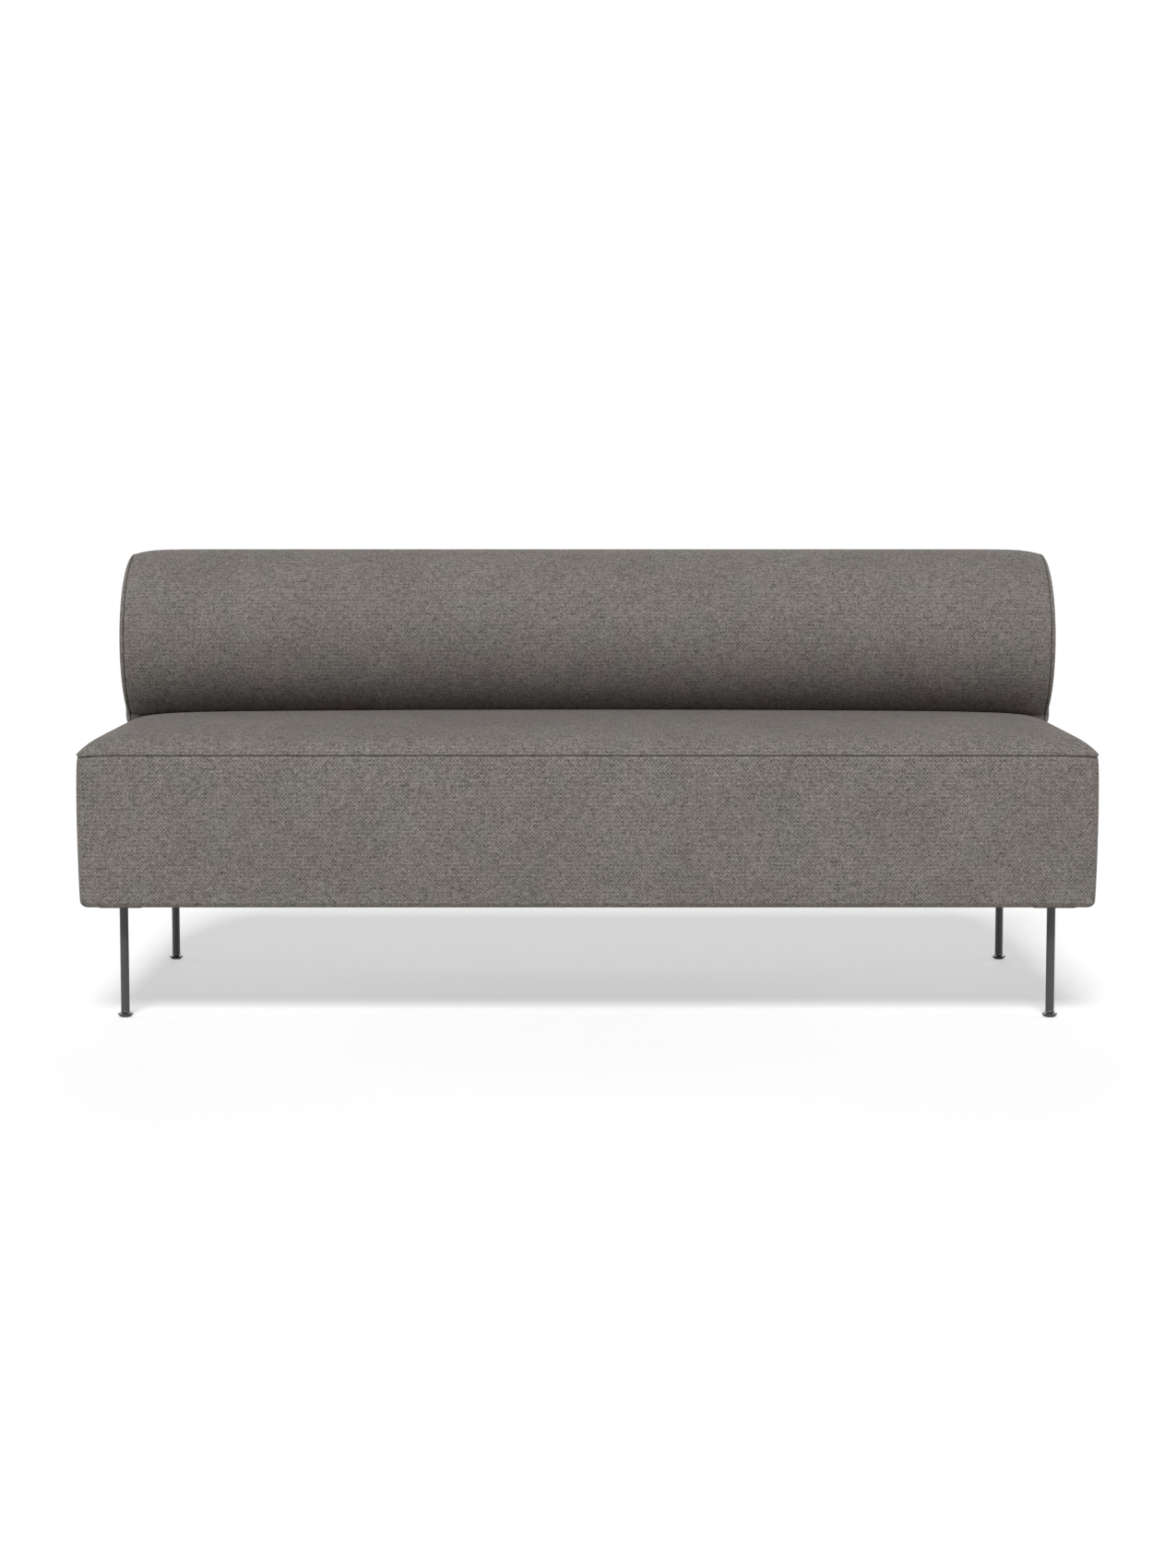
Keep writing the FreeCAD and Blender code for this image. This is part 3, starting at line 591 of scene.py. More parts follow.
def settled(grid, free, cap, pressure, growth=0.0):
    """The cover over a grid of points after it has swelled and creased as cloth between its held edges.

    The cloth runs on a coarser grid, free says how free each point is, from 0 to 1, and no point
    moves more than the cap."""
    picks = [np.unique(np.append(np.arange(0, count, cloth_every), count - 1)) for count in free.shape]
    coarse = grid[np.ix_(*picks)]
    held = 1 - free[np.ix_(*picks)]
    mesh = bpy.data.meshes.new("cloth_trial")
    mesh.from_pydata(coarse.reshape(-1, 3).tolist(), [], grid_faces(*held.shape))
    trial = bpy.data.objects.new("cloth_trial", mesh)
    bpy.context.scene.collection.objects.link(trial)
    group = trial.vertex_groups.new(name="held")
    grades = np.round(held.ravel() * hold_grades).astype(int)
    for grade in range(1, hold_grades + 1):
        group.add(np.flatnonzero(grades == grade).tolist(), grade / hold_grades, "REPLACE")
    cover = trial.modifiers.new("cover", "CLOTH")
    cover.settings.vertex_group_mass = "held"
    cover.settings.use_pressure = True
    cover.settings.uniform_pressure_force = pressure
    cover.settings.shrink_min = -growth
    cover.settings.effector_weights.gravity = 0.0
    for step in range(1, cloth_steps + 1):
        bpy.context.scene.frame_set(step)
    moved = np.empty(coarse.size, np.float32)
    trial.evaluated_get(bpy.context.evaluated_depsgraph_get()).data.vertices.foreach_get("co", moved)
    bpy.context.scene.frame_set(1)
    bpy.data.objects.remove(trial)
    move = moved.reshape(coarse.shape) - coarse
    far = np.linalg.norm(move, axis=-1, keepdims=True)
    move *= cap * np.tanh(far / cap) / np.maximum(far, 1e-9)
    smooth = [curve_weights(count, picked) for count, picked in zip(free.shape, picks)]
    return grid + np.einsum("ai,ijk,bj->abk", smooth[0], move, smooth[1]) * free[..., None]


# Seat top: a crowned cushion, sewn to the border all round and pressed down by the back

def edge_share(distance, run):
    return 1 - np.exp(-((np.maximum(distance, 0) / run) ** crown_power))


def from_corner(x, y):
    return np.maximum(seat_half_x - np.abs(x), 0) + np.maximum(seat_half_y - np.abs(y), 0)


def crown_height(x, y):
    """How high the seat's top stands over the seam where nothing presses on it."""
    side = edge_share(seat_half_x - np.abs(x), crown_run)
    end = edge_share(seat_half_y + y, crown_front_run) * edge_share(seat_half_y - y, crown_run)
    fill = crown_corner_fill * np.exp(-from_corner(x, y) / crown_fill_run)
    edge = side * end * (1 - fill) + np.minimum(side, end) * fill
    dome_y = 1 - ((y - crown_peak_y) / (seat_half_y + crown_peak_y)) ** 2
    dome_x = 1 - (x / seat_half_x) ** 2
    return edge * (crown_rise + crown_dome * dome_x * np.maximum(dome_y, 0))


def end_ease(x):
    """From 0 along most of the roll to 1 at its ends, where it is drawn in."""
    return np.exp((np.minimum(np.abs(x), roll_half) - roll_half) / roll_draw_length)


def roll_under_z(x, y):
    """The height at which the back roll's round front stands over the seat."""
    reach = roll_radius - roll_end_draw * end_ease(x) + 3 * clear
    inside = np.clip(reach ** 2 - (roll_y - y) ** 2, 0, None)
    return roll_z - roll_end_drop * end_ease(x) - np.sqrt(inside)


def pressed(free_z, limit_z):
    """The lower of two heights, with a soft turn where they meet."""
    gap = np.abs(free_z - limit_z)
    return np.minimum(free_z, limit_z) - press_blend * np.log(1 + np.exp(-gap / press_blend))


def droop(x, y):
    """How far the seam hangs lower near the seat's corners."""
    return seam_droop * np.exp(-from_corner(x, y) / seam_droop_run)


def seat_top_z(x, y, lip):
    """The seat's top, pressed down under the roll and under the back."""
    free = seam_z + np.hypot(crown_height(x, y), seam_half_gap + lip)
    under_roll = pressed(free, roll_under_z(x, y))
    under_back = pressed(free, back_base_z - clear)
    share = np.clip((y - (neck_y - 0.005)) / 0.004, 0, 1)
    return np.where(y < neck_y - 0.045, free, under_roll * (1 - share) + under_back * share)


def seat_top():
    near = [0.0, 0.0005, 0.0012, 0.002, 0.0032, 0.0046, 0.0065, 0.009, 0.0115, corner_radius]
    near += [0.018, 0.023, 0.03, 0.039, 0.05, 0.062]
    xs = np.array(both_ends(seat_half_x, near, seat_step))
    crease = [neck_y - 0.034 + 0.004 * k for k in range(11)]
    ys = [-seat_half_y + d for d in near] + spaced(near[-1] - seat_half_y, crease[0], seat_step) + crease
    ys += spaced(crease[-1], seat_half_y - near[-1], 0.014) + [seat_half_y - d for d in reversed(near)]
    ys = np.array(ys)
    x, y = np.meshgrid(xs, ys, indexing="ij")
    side = seat_half_x - np.abs(x)
    ends = seat_half_y - np.abs(y)
    edge = np.minimum(side, ends)
    ear = np.exp(-from_corner(x, y) / ear_run)
    lip = lip_radius + ear_radius * ear
    stand = lip_stand + ear_stand * ear
    px, py, nx, ny = round_corners(x, y, seat_half_x, seat_half_y, corner_radius)
    px = px + nx * stand * np.exp(-side / lip_run)
    py = py + ny * stand * np.exp(-ends / lip_run)
    z = seat_top_z(x, y, lip) - droop(x, y) * np.exp(-edge / 0.008)
    along = np.where(ends < side, x, y + 3)
    z = z + pucker * ripple(along, 30, 75, 1) * np.exp(-edge / pucker_run) * (1 - np.exp(-edge / 0.0015))
    free = np.clip((edge - 0.005) / 0.02, 0, 1) * np.clip((neck_y - 0.04 - y) / 0.05, 0, 1)
    top = settled(np.stack([px, py, z], -1), free, seat_top_cap, seat_top_pressure)
    columns, rows = x.shape
    uv = spread_flat(top)

    path = rim(columns, rows)
    i, j = path[:, 0], path[:, 1]
    bx, by, nx, ny = round_corners(x[i, j], y[i, j], seat_half_x, seat_half_y, corner_radius)
    hang = droop(bx, by)
    edge_lip = lip[i, j]
    edge_stand = stand[i, j]

    def ring(out, height):
        return np.stack([bx + nx * out, by + ny * out, height], -1)

    seam = seam_z + seam_half_gap - hang
    rings = []
    for back, down in quarter(5)[1:]:
        rings.append(ring(edge_stand - edge_lip * back, seam + edge_lip * (1 - down)))
    rings.append(ring(np.full(len(bx), -seam_tuck), seam))
    for height in (seam_z - 0.012, seam_z - 0.034):
        rings.append(ring(np.full(len(bx), -seam_tuck - 0.001), np.full(len(bx), height)))

    points = [top.reshape(-1, 3)]
    faces = grid_faces(columns, rows)
    face_uvs = [grid_uvs(uv)]
    last = i * rows + j
    last_uv = uv[i, j]
    for step, loop in enumerate(rings):
        now = columns * rows + step * len(path) + np.arange(len(path))
        now_uv = last_uv + np.stack([nx, ny], -1) * 0.001
        faces += np.array(wall_faces(last, now)).tolist()
        face_uvs.append(wall_uvs(last_uv, now_uv))
        points.append(loop)
        last, last_uv = now, now_uv
    faces.append(last.tolist())
    face_uvs.append(last_uv)
    points = np.concatenate(points)
    obj = make_piece("seat_cushion", points.tolist(), faces, "seat_fabric", "sofa", np.concatenate(face_uvs))
    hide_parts("seat_top_cover", "seat_wadding", "seat_top_foam", "seat_core_foam", "spring_felt")


# Seat border: the fabric round the sides, drawn in at the seam and turned under at the bottom

def seat_border():
    closing = [closing_seam_inset + d for d in (-0.0024, -0.0014, -0.0008, 0, 0.0008, 0.0014, 0.0024)]
    near = [corner_radius * k / 7 for k in range(8)] + [0.02] + closing + [0.04]
    xs = np.array(both_ends(seat_half_x, near, seat_step))
    ys = np.array(both_ends(seat_half_y, near[:8], seat_step))
    path = rim(len(xs), len(ys))
    bx, by, nx, ny = round_corners(xs[path[:, 0]], ys[path[:, 1]], seat_half_x, seat_half_y, corner_radius)
    along = lengths(np.stack([np.append(bx, bx[0]), np.append(by, by[0])], -1))
    s = along[:-1]
    hang = droop(bx, by)
    height = seam_z - underside_z
    side_share = ny ** 2 * (1 - (bx / seat_half_x) ** 2) + nx ** 2 * (1 - (by / seat_half_y) ** 2)
    off_seam = (np.abs(bx) - (seat_half_x - closing_seam_inset)) / closing_seam_width
    groove = np.where(by > 0, closing_seam_depth * np.exp(-off_seam ** 2) * (ny > 0.99), 0)

    def wall(z, inner):
        """How far out the wall stands at a height, drawn in by the fabric's thickness on its inside."""
        share = min(1, max(0, (z - underside_z) / height))
        swell = max(0.0, math.sin(math.pi * share))
        radius = bottom_radius - inner
        low = max(0.0, bottom_radius - (z - underside_z))
        tuck = radius - math.sqrt(max(0.0, radius ** 2 - low ** 2))
        out = side_bulge * swell ** 0.25 * (1 + 0.5 * (share - 0.5))
        return out - tuck - inner + (least_bow + side_bow * swell) * side_share

    def ring(out, z, near_seam):
        """One loop of the border. near_seam is the share of the seam's droop that it takes part in."""
        wave = pucker * ripple(s, 30, 75, 2) * math.exp(-abs(seam_z - z) / pucker_run)
        out = out + wave - groove * (z > underside_z + cover_t)
        return np.stack([bx + nx * out, by + ny * out, z - hang * near_seam], -1)

    top = seam_z - seam_half_gap
    levels = [top - d for d in (0.0035, 0.0055, 0.008, 0.012, 0.018)]
    levels += reversed(spaced(underside_z + bottom_radius, levels[-1], seat_step))
    base = wall(underside_z + bottom_radius, 0.0)
    rings = [ring(np.full(len(s), -seam_tuck), top, 1.0)]
    first = wall(top - lip_radius, 0.0)
    for back, up in reversed(quarter(4)[:-1]):
        rings.append(ring(first - lip_radius * back, top - lip_radius * (1 - up), 1.0))
    outer = slice(len(rings), len(rings) + len(levels))
    for z in levels:
        rings.append(ring(wall(z, 0.0), z, math.exp(-(seam_z - z) / 0.02)))
    for back, down in quarter(8):
        rings.append(ring(base - bottom_radius * back, underside_z + bottom_radius * (1 - down), 0.0))
    inner_z = underside_z + cover_t
    inner_radius = bottom_radius - cover_t
    for out, z in ((-0.018, underside_z), (-hem_depth, underside_z), (-hem_depth, inner_z)):
        rings.append(ring(np.full(len(s), out), z, 0.0))
    for back, down in reversed(quarter(8)):
        z = underside_z + bottom_radius - inner_radius * down
        rings.append(ring(base - cover_t - inner_radius * back, z, 0.0))
    for z in reversed(levels[4::3]):
        rings.append(ring(wall(z, cover_t), z, 0.0))
    rings.append(ring(np.full(len(s), -seam_tuck), top - 0.006, 1.0))
    rings = np.array(rings)
    z = rings[outer, :, 2]
    free = np.clip((z - underside_z - 0.015) / 0.03, 0, 1) * np.clip((seam_z - 0.012 - z) / 0.03, 0, 1)
    free = free * (groove < 1e-5) * np.clip((from_corner(bx, by) - 0.01) / 0.05, 0, 1)
    rings[outer] = settled(rings[outer], free, border_cap, border_pressure)
    middle = rings[:, len(s) // 2]
    down = lengths(np.concatenate([middle, middle[:1]]))
    uv = np.stack(np.broadcast_arrays(along[None, :], -down[:, None]), -1)
    obj = shell("seat_border", rings, uv, torus=True)
    pads = ["border_pad_" + word for word in ("front", "rear", "left", "right")]
    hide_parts("seat_border_cover", *pads)


# Back: a round front on a short neck, a flat rear panel and domed ends

def back_outline(ease, foot_z, recess):
    """The outline of the back as (y, z) points, from the front of the neck over the top to the rear."""
    radius = roll_radius - roll_end_draw * ease
    z = roll_z - roll_end_drop * ease
    drop = math.sqrt(radius ** 2 - (roll_y - neck_y) ** 2)
    start = math.pi + math.atan2(drop, roll_y - neck_y)
    stop = math.asin(rear_seam_rise / radius)
    angles = [start + (stop - start) * k / round_steps for k in range(round_steps + 1)]
    points = [(neck_y, foot_z), (neck_y, (foot_z + z - drop) / 2)]
    points += [(roll_y + radius * math.cos(a), z + radius * math.sin(a)) for a in angles]
    rear = roll_y + radius
    low = z + rear_seam_rise
    if recess:
        points += [(rear - lip_radius * back, low - lip_radius * down) for back, down in quarter(3)[1:]]
        low -= lip_radius
    points += [(rear - recess, low + (foot_z - low) * k / 12) for k in range(1, 13)]
    points += [(rear - recess + (neck_y - rear + recess) * k / 20, foot_z) for k in range(1, 20)]
    return np.array(points)


def shrunk(outline, inset):
    """An outline drawn in towards the roll's axis."""
    axis = np.array([roll_y, roll_z - roll_end_drop])
    away = outline - axis
    reach = np.linalg.norm(away, axis=1, keepdims=True)
    return axis + away * (1 - inset / reach)


def at_x(outline, x):
    """The points of an outline, placed along the sofa."""
    return np.insert(outline, 0, x, axis=1)


def back_roll():
    """The round front of the back, drawn in and turned under at both ends."""
    near = [0.0, 0.001, 0.002, 0.0035, 0.005, 0.0075, 0.0105, 0.014, 0.018, 0.023, 0.03, 0.038, 0.048, 0.06]
    edge_x = roll_half - seam_half_gap - lip_radius
    xs = np.array(both_ends(edge_x, near, roll_step))
    rings = np.array([at_x(back_outline(end_ease(x), back_base_z, rear_recess), x) for x in xs])
    over = lengths(rings[len(xs) // 2])
    from_end = edge_x - np.abs(xs)
    gather = pucker * ripple(over[None, :] + (xs[:, None] > 0), 35, 80, 3)
    gather = gather * (np.exp(-from_end / pucker_run) * (1 - np.exp(-from_end / 0.0015)))[:, None]
    away = rings[..., 1:] - np.array([roll_y, roll_z])
    away = away / np.linalg.norm(away, axis=-1, keepdims=True)
    round_part = np.arange(rings.shape[1]) < round_points
    rings[..., 1:] += away * (gather * round_part)[..., None]
    turn = np.arctan2(rings[..., 2] - roll_z, roll_y - rings[..., 1])
    free = np.clip((turn + 0.35) / 0.4, 0, 1) * np.clip((2.6 - turn) / 0.3, 0, 1) * round_part
    free = free * np.clip((from_end - 0.004) / 0.03, 0, 1)[:, None]
    front = slice(round_points)
    rings[:, front] = settled(rings[:, front], free[:, front], roll_cap, roll_pressure, roll_growth)
    ends = {}
    for side, last in ((-1, rings[0]), (1, rings[-1])):
        turns = []
        for back, out in quarter(4)[1:]:
            turns.append(at_x(shrunk(last[:, 1:], lip_radius * back), side * (edge_x + lip_radius * out)))
        turns.append(at_x(shrunk(last[:, 1:], seam_tuck), turns[-1][:, 0]))
        ends[side] = np.array(turns)
    rings = np.concatenate([ends[-1][::-1], rings, ends[1]])
    middle = rings[len(rings) // 2]
    along = lengths(rings[:, cloth_line])
    v = lengths(np.concatenate([middle, middle[:1]]))
    uv = np.stack(np.broadcast_arrays(along[:, None], v[None, :]), -1)
    obj = shell("back_roll", rings, uv)
    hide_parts("back_front_cover", "back_wadding", "back_foam")


def rear_panel():
    """The flat rear of the back: a panel sewn in between the roll and the ends, and fixed underneath."""
    near = [0.0, 0.0003, 0.0008, 0.0016, 0.003, 0.006, 0.011, 0.018, 0.03, 0.045]
    half = roll_half - seam_half_gap - clear
    xs = np.array(both_ends(half, near, flat_step))
    high = roll_z + rear_seam_rise - lip_radius - 2 * seam_half_gap
    zs = spaced(back_base_z, high - near[-1], flat_step) + [high - d for d in reversed(near)]
    zs = np.array([back_base_z] + zs)
    x, z = np.meshgrid(xs, zs, indexing="ij")
    side = half - np.abs(x)
    top = high - z
    edge = np.minimum(side, top)
    roll_in = lip_radius - np.sqrt(lip_radius ** 2 - np.clip(lip_radius - edge, 0, lip_radius) ** 2)
    rear = roll_y + roll_radius - roll_end_draw * end_ease(x)
    swell = rear_swell * (1 - np.exp(-side / 0.05)) * (1 - np.exp(-top / 0.03))
    along = np.where(top < side, x, z + 5)
    wave = pucker * ripple(along, 30, 70, 5) * np.exp(-edge / pucker_run) * (1 - np.exp(-edge / 0.002))
    drop = roll_end_drop * end_ease(x) * (z - back_base_z) / (high - back_base_z)
    outer = np.stack([x, rear - roll_in + swell + wave, z - drop], -1)
    inner = np.stack([x, rear - rear_recess + clear, z - drop], -1)
    obj = slab("back_rear_panel", outer, inner, "seat_fabric")
    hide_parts("back_rear_cover")


def back_end(side):
    """The domed end of the back: a quick turn at the seam, then a slow dome."""
    outline = back_outline(1.0, back_base_z, 0.0)
    start = roll_half + seam_half_gap
    rings = [(seam_tuck, start)]
    rings += [(lip_radius * back, start + lip_radius * (1 - out)) for back, out in reversed(quarter(4)[1:])]
    for k in range(11):
        turn = math.radians(90 * k / 10)
        x = start + lip_radius + (end_turn - seam_half_gap - lip_radius) * math.sin(turn)
        rings.append((end_turn_inset * (1 - math.cos(turn)), x))
    loops = []
    for inset, x in rings:
        loop = shrunk(outline, inset)
        foot = seam_z + crown_height(x, neck_y) + clear
        low = np.clip((back_base_z + 0.004 - loop[:, 1]) / 0.004, 0, 1)
        loop[:, 1] -= low * max(0, back_base_z - foot)
        loops.append(at_x(loop, side * x))
    axis = np.array([roll_y, roll_z - roll_end_drop])
    inner = shrunk(outline, end_turn_inset) - axis
    for share in (0.97, 0.93, 0.87, 0.8, 0.72, 0.63, 0.54, 0.45, 0.36, 0.27, 0.18, 0.1, 0.03):
        x = roll_half + end_turn + (end_bulge - end_turn) * (1 - share ** 2)
        loops.append(at_x(axis + inner * share, side * x))
    loops = np.array(loops)
    out = np.stack([lengths(loops[::-1, j])[::-1] for j in range(loops.shape[1])], 1)
    out += np.linalg.norm(loops[-1, :, 1:] - axis, axis=1)
    ways = outline - axis
    ways = ways / np.linalg.norm(ways, axis=1, keepdims=True)
    uv = axis + ways[None] * out[..., None]
    word = WORDS_X[side]
    obj = shell("back_end_" + word, loops, np.concatenate([uv, uv[:, :1]], axis=1))
    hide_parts("back_end_cover_" + word, "back_end_pad_" + word)


# Underside: a stapled dust cover

def sheet_z(x, y):
    """How far the dust cover hangs down between its edges, clear of the leg plates."""
    leg_x = seat_half_x - leg_inset
    leg_y = seat_half_y - leg_inset
    off_plate = np.maximum(np.abs(np.abs(x) - leg_x), np.abs(np.abs(y) - leg_y)) - plate_half
    open_share = np.clip(off_plate / 0.06, 0, 1) ** 2
    in_x = np.clip((seat_half_x - hem_depth - np.abs(x)) / 0.3, 0, 1)
    in_y = np.clip((seat_half_y - hem_depth - np.abs(y)) / 0.2, 0, 1)
    sag = np.sin(in_x * math.pi / 2) * np.sin(in_y * math.pi / 2)
    wave = 1 + 0.12 * ripple(x, 2, 6, 8) * ripple(y, 2, 7, 9)
    return sheet_sag * sag * open_share * wave


def dust_sheet():
    """The thin cloth under the frame, folded double along its edges."""
    half_x = seat_half_x - sheet_inset
    half_y = seat_half_y - sheet_inset
    near = [0.0, 0.004, 0.009, sheet_fold - 0.0004, sheet_fold + 0.0004, 0.02, 0.028]
    xs = np.array(both_ends(half_x, near, flat_step))
    ys = np.array(both_ends(half_y, near, flat_step))
    x, y = np.meshgrid(xs, ys, indexing="ij")
    edge = np.minimum(half_x - np.abs(x), half_y - np.abs(y))
    top = underside_z - sheet_gap - sheet_z(x, y)
    thick = np.where(edge < sheet_fold, 2 * sheet_t, sheet_t)
    px, py, _, _ = round_corners(x, y, half_x, half_y, corner_radius)
    obj = slab("dust_sheet", np.stack([px, py, top], -1), np.stack([px, py, top - thick], -1), "dust_cloth")
    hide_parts("dust_cover")
    return obj


def staples(sheet_obj):
    """Wire staples round the edge of the dust cover."""
    half_x = seat_half_x - sheet_inset - sheet_fold / 2
    half_y = seat_half_y - sheet_inset - sheet_fold / 2
    sheet_low = underside_z - sheet_gap - 2 * sheet_t
    spots = []
    for side in (-1, 1):
        spots += [(x, side * half_y, 0.0) for x in both_ends(half_x, [staple_corner], staple_pitch)]
        spots += [(side * half_x, y, math.pi / 2) for y in both_ends(half_y, [staple_corner], staple_pitch)]
    right = [(0.92, 0.0001, 0.7), (1, 0.0006, 0), (1, 0.0016, 0)]
    run = [(-along, lift, level) for along, lift, level in reversed(right)] + [(0, 0, 1)] + right
    dice = np.random.default_rng(4)
    parts = []
    angles = 2 * math.pi * np.arange(6) / 6
    for x, y, turn in spots:
        turn += dice.uniform(-staple_tilt, staple_tilt)
        way = np.array([math.cos(turn), math.sin(turn), 0])
        across = np.array([-way[1], way[0], 0])
        up = np.array([0, 0, 1.0])
        spot = np.array([x, y, sheet_low - staple_wire])
        rings = []
        for along, lift, level in run:
            centre = spot + way * along * staple_half + up * lift
            side_way = up * level + way * -np.sign(along) * (1 - level)
            side_way = side_way / np.linalg.norm(side_way)
            spokes = [math.cos(a) * across + math.sin(a) * side_way for a in angles]
            rings.append([centre + staple_wire * spoke for spoke in spokes])
        parts.append(np.array(rings))
    obj = small_parts("dust_sheet_staples", parts, "zinc_steel")


# Legs and feet

def leg_spots():
    """Each leg's place and the words of its names."""
    for sx, sy in CORNERS:
        spot = np.array([sx * (seat_half_x - leg_inset), sy * (seat_half_y - leg_inset)])
        yield spot, WORDS_Y[sy] + "_" + WORDS_X[sx]


def leg_welds():
    """A beaded weld where each leg meets its plate."""
    count = 72
    beads = 1 + 0.35 * np.abs(np.sin(np.arange(count) * 2 * math.pi / 6))
    profile = [(leg_radius, plate_z - 0.0022)]
    for grow, drop in ((0.0003, 0.0018), (0.0009, 0.0010), (0.0016, 0.0004), (0.0019, 0.0)):
        profile.append((leg_radius + grow * beads, plate_z - drop))
    small_parts("leg_welds", [turned(spot, profile, count) for spot, _ in leg_spots()], "leg_steel")


def cross_outline(count, arm, half_width):
    """The radius of a cross-shaped recess at each angle."""
    angles = 2 * math.pi * np.arange(count) / count
    c = np.maximum(np.abs(np.cos(angles)), 1e-6)
    s = np.maximum(np.abs(np.sin(angles)), 1e-6)
    return np.maximum(np.minimum(arm / c, half_width / s), np.minimum(half_width / c, arm / s))


def plate_screws():
    """Countersunk screws with a cross recess, flush with the leg plates."""
    count = 48
    cross = cross_outline(count, 0.0023, 0.00055)
    profile = [(core_radius, plate_z + 0.0016), (cross * 0.8, plate_z + 0.0014), (cross, plate_z + 0.00005)]
    profile += [(0.0036, plate_z - 0.0001), (screw_head_radius - 0.0002, plate_z)]
    profile += [(screw_head_radius, plate_z + 0.0001), (screw_radius, plate_z + 0.0022)]
    profile += [(screw_radius, plate_z + 0.026), (core_radius, plate_z + 0.03)]
    parts = []
    for spot, _ in leg_spots():
        for ix, iy in CORNERS:
            parts.append(turned(spot + np.array([ix, iy]) * hole_half_pitch, profile, count))
    obj = sharpen(small_parts("leg_screws", parts, "zinc_steel"), 35)
    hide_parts("leg_plate_screws")


def foot_stud(spot, word):
    """A threaded stud with a chamfered hexagon, and the neck that its pad snaps onto."""
    count = 48
    angles = 2 * math.pi * np.arange(count) / count
    hexagon = hex_half_flats / np.cos((angles + math.pi / 6) % (math.pi / 3) - math.pi / 6)
    hex_top = foot_height - hex_gap
    hex_z = hex_top - hex_height
    chamfer = []
    for rise, grow in ((0.0, 0.0), (0.0004, 0.0005), (0.0008, 0.0010), (0.0012, 0.0014)):
        chamfer.append((np.minimum(hexagon, hex_half_flats * 0.97 + grow), rise))
    profile = [(core_radius, 0.0019), (0.0042, 0.0019), (0.0042, 0.003), (0.003, 0.0031), (0.003, hex_z)]
    profile += [(radius, hex_z + rise) for radius, rise in chamfer]
    profile += [(radius, hex_top - rise) for radius, rise in reversed(chamfer)]
    profile.append((stud_radius - thread_depth, hex_top))
    rows = round((stud_top_z - hex_top - 0.001) / thread_pitch * 6)
    for k in range(rows):
        z = hex_top + 0.0005 + k * thread_pitch / 6
        share = (z / thread_pitch - angles / (2 * math.pi)) % 1
        ends = min(1.0, k / 4, (rows - 1 - k) / 4)
        profile.append((stud_radius - thread_depth * (1 - ends * (1 - np.abs(2 * share - 1))), z))
    profile.append((core_radius, stud_top_z))
    rings = turned(spot, profile, count)
    obj = sharpen(small_parts("stud_" + word, [rings], "zinc_steel", "screw_" + word), 32)
    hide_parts("foot_screw_" + word)


def foot_saucer(spot, word):
    """The pad that stands on the floor: a narrow base, a wide rounded rim and a socket for the stud."""
    profile = [(core_radius, 0.0), (0.0079, 0.0), (0.0084, 0.0002), (0.0087, 0.0007), (0.0118, 0.0036)]
    profile += [(0.0123, 0.0042), (0.0125, 0.0048), (0.0123, 0.0054), (0.0118, 0.0058), (0.011, 0.006)]
    profile += [(0.0095, 0.006), (0.0088, 0.0057), (0.0048, 0.0055), (0.0042, 0.0058), (0.0032, 0.0058)]
    profile += [(0.00308, 0.0056), (0.00308, 0.0032), (0.0043, 0.0031), (0.0043, 0.0018)]
    profile.append((core_radius, 0.0018))
    rings = turned(spot, profile, 64)
    obj = sharpen(small_parts("saucer_" + word, [rings], "foot_plastic", "foot_" + word), 50)
    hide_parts("foot_pad_" + word)


# Floor, light and camera

def lamp(name, way, strength, spread):
    """A wide soft light that shines along a direction."""
    data = bpy.data.lights.new(name, "SUN")
    data.energy = strength
    data.angle = math.radians(spread)
    obj = bpy.data.objects.new(name, data)
    bpy.context.scene.collection.objects.link(obj)
    obj.rotation_euler = Vector(way).to_track_quat("-Z", "Y").to_euler()


def seen_rays(n):
    """1 for the rays that see the room, also in metal or glass, and 0 for those that light the sofa."""
    rays = n.add("ShaderNodeLightPath").outputs
    seen = n.math("MAXIMUM", rays["Is Camera Ray"], rays["Is Glossy Ray"])
    return n.math("MAXIMUM", seen, rays["Is Transmission Ray"])


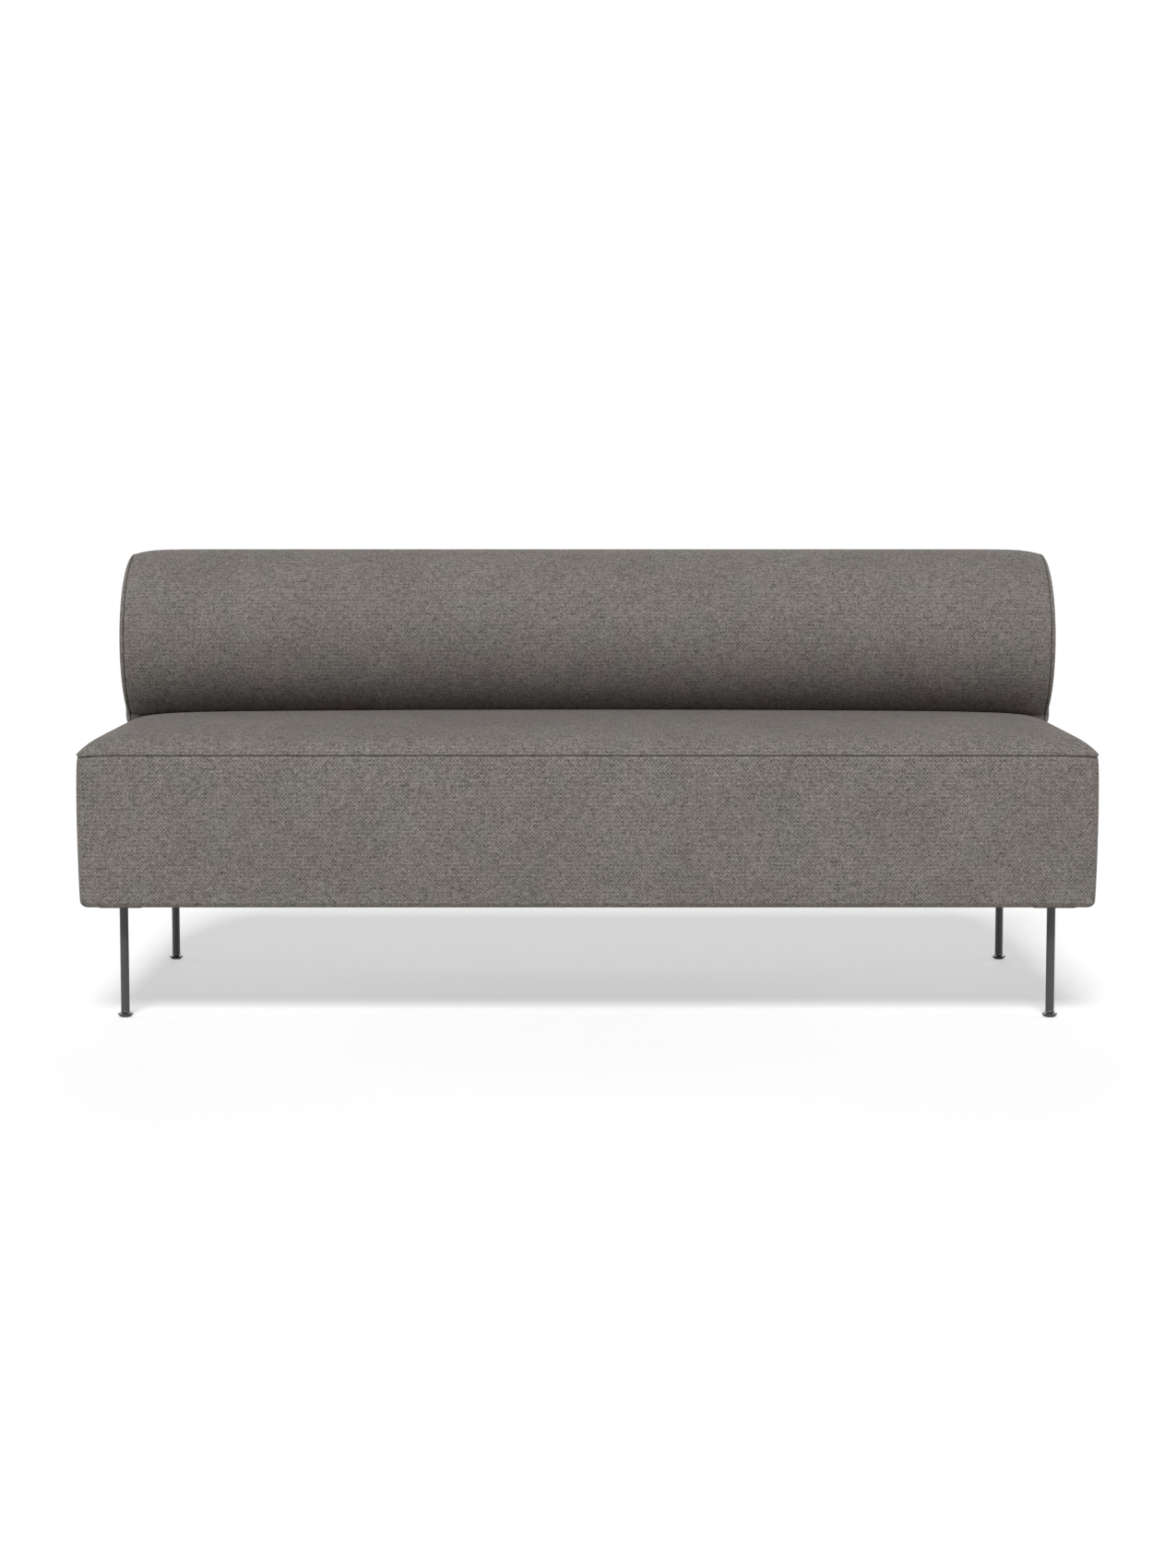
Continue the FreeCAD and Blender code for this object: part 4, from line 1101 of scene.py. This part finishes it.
def studio():
    """A white room, a pale floor under the lowest foot that keeps the shadow, and soft lights all round."""
    world = Nodes("studio", bpy.data.worlds)
    bpy.context.scene.world = world.made
    room = world.blend(seen_rays(world), (0.033, 0.03, 0.027, 1), (1, 1, 1, 1))
    world.put(world.tree.nodes["Background"].inputs["Color"], room)

    n = Nodes("pale_floor")
    seen = seen_rays(n)
    cloud = n.noise(place(n), 3.0, 2.0)
    plain = n.blend(cloud, (0.76, 0.755, 0.74, 1), (0.82, 0.815, 0.8, 1))
    colour = n.blend(seen, plain, (0.57, 0.57, 0.57, 1))
    material = n.finish(Base_Color=colour, Roughness=1.0, Specular_IOR_Level=0.0)
    n.put(n.shader.inputs["Emission Color"], (1, 1, 1, 1))
    n.put(n.shader.inputs["Emission Strength"], n.math("MULTIPLY", seen, 0.5))
    bpy.ops.mesh.primitive_plane_add(size=80)
    floor = bpy.context.object
    floor.name = "floor"
    dress(floor, material)
    for _, word in leg_spots():
        under_foot = floor.constraints.new("FLOOR")
        under_foot.target = bpy.data.objects["saucer_" + word]
        under_foot.floor_location = "FLOOR_NEGATIVE_Z"

    lamp("front_lamp", (0.05, 0.656, -0.755), 2.9, 18)
    lamp("rear_lamp", (0.0, -0.98, -0.2), 1.4, 30)
    lamp("left_lamp", (0.87, -0.45, -0.2), 1.1, 30)
    lamp("right_lamp", (-0.87, -0.45, -0.2), 1.1, 30)


def camera():
    """The photograph's view: straight from the front and a little from above."""
    data = bpy.data.cameras.new("camera")
    data.sensor_width = 36.0
    data.lens = 62.19
    data.shift_x = 0.0003
    data.shift_y = -0.0276
    eye = bpy.data.objects.new("camera", data)
    bpy.context.scene.collection.objects.link(eye)
    eye.location = (0.0, -4.6423, 0.8539)
    eye.rotation_euler = (math.radians(84.749), 0, 0)
    bpy.context.scene.camera = eye


bpy.context.scene.view_settings.view_transform = "Standard"
dress_frame()
seat_top()
seat_border()
back_roll()
rear_panel()
for side in (-1, 1):
    back_end(side)
staples(dust_sheet())
leg_welds()
plate_screws()
for spot, word in leg_spots():
    foot_stud(spot, word)
    foot_saucer(spot, word)
studio()
camera()
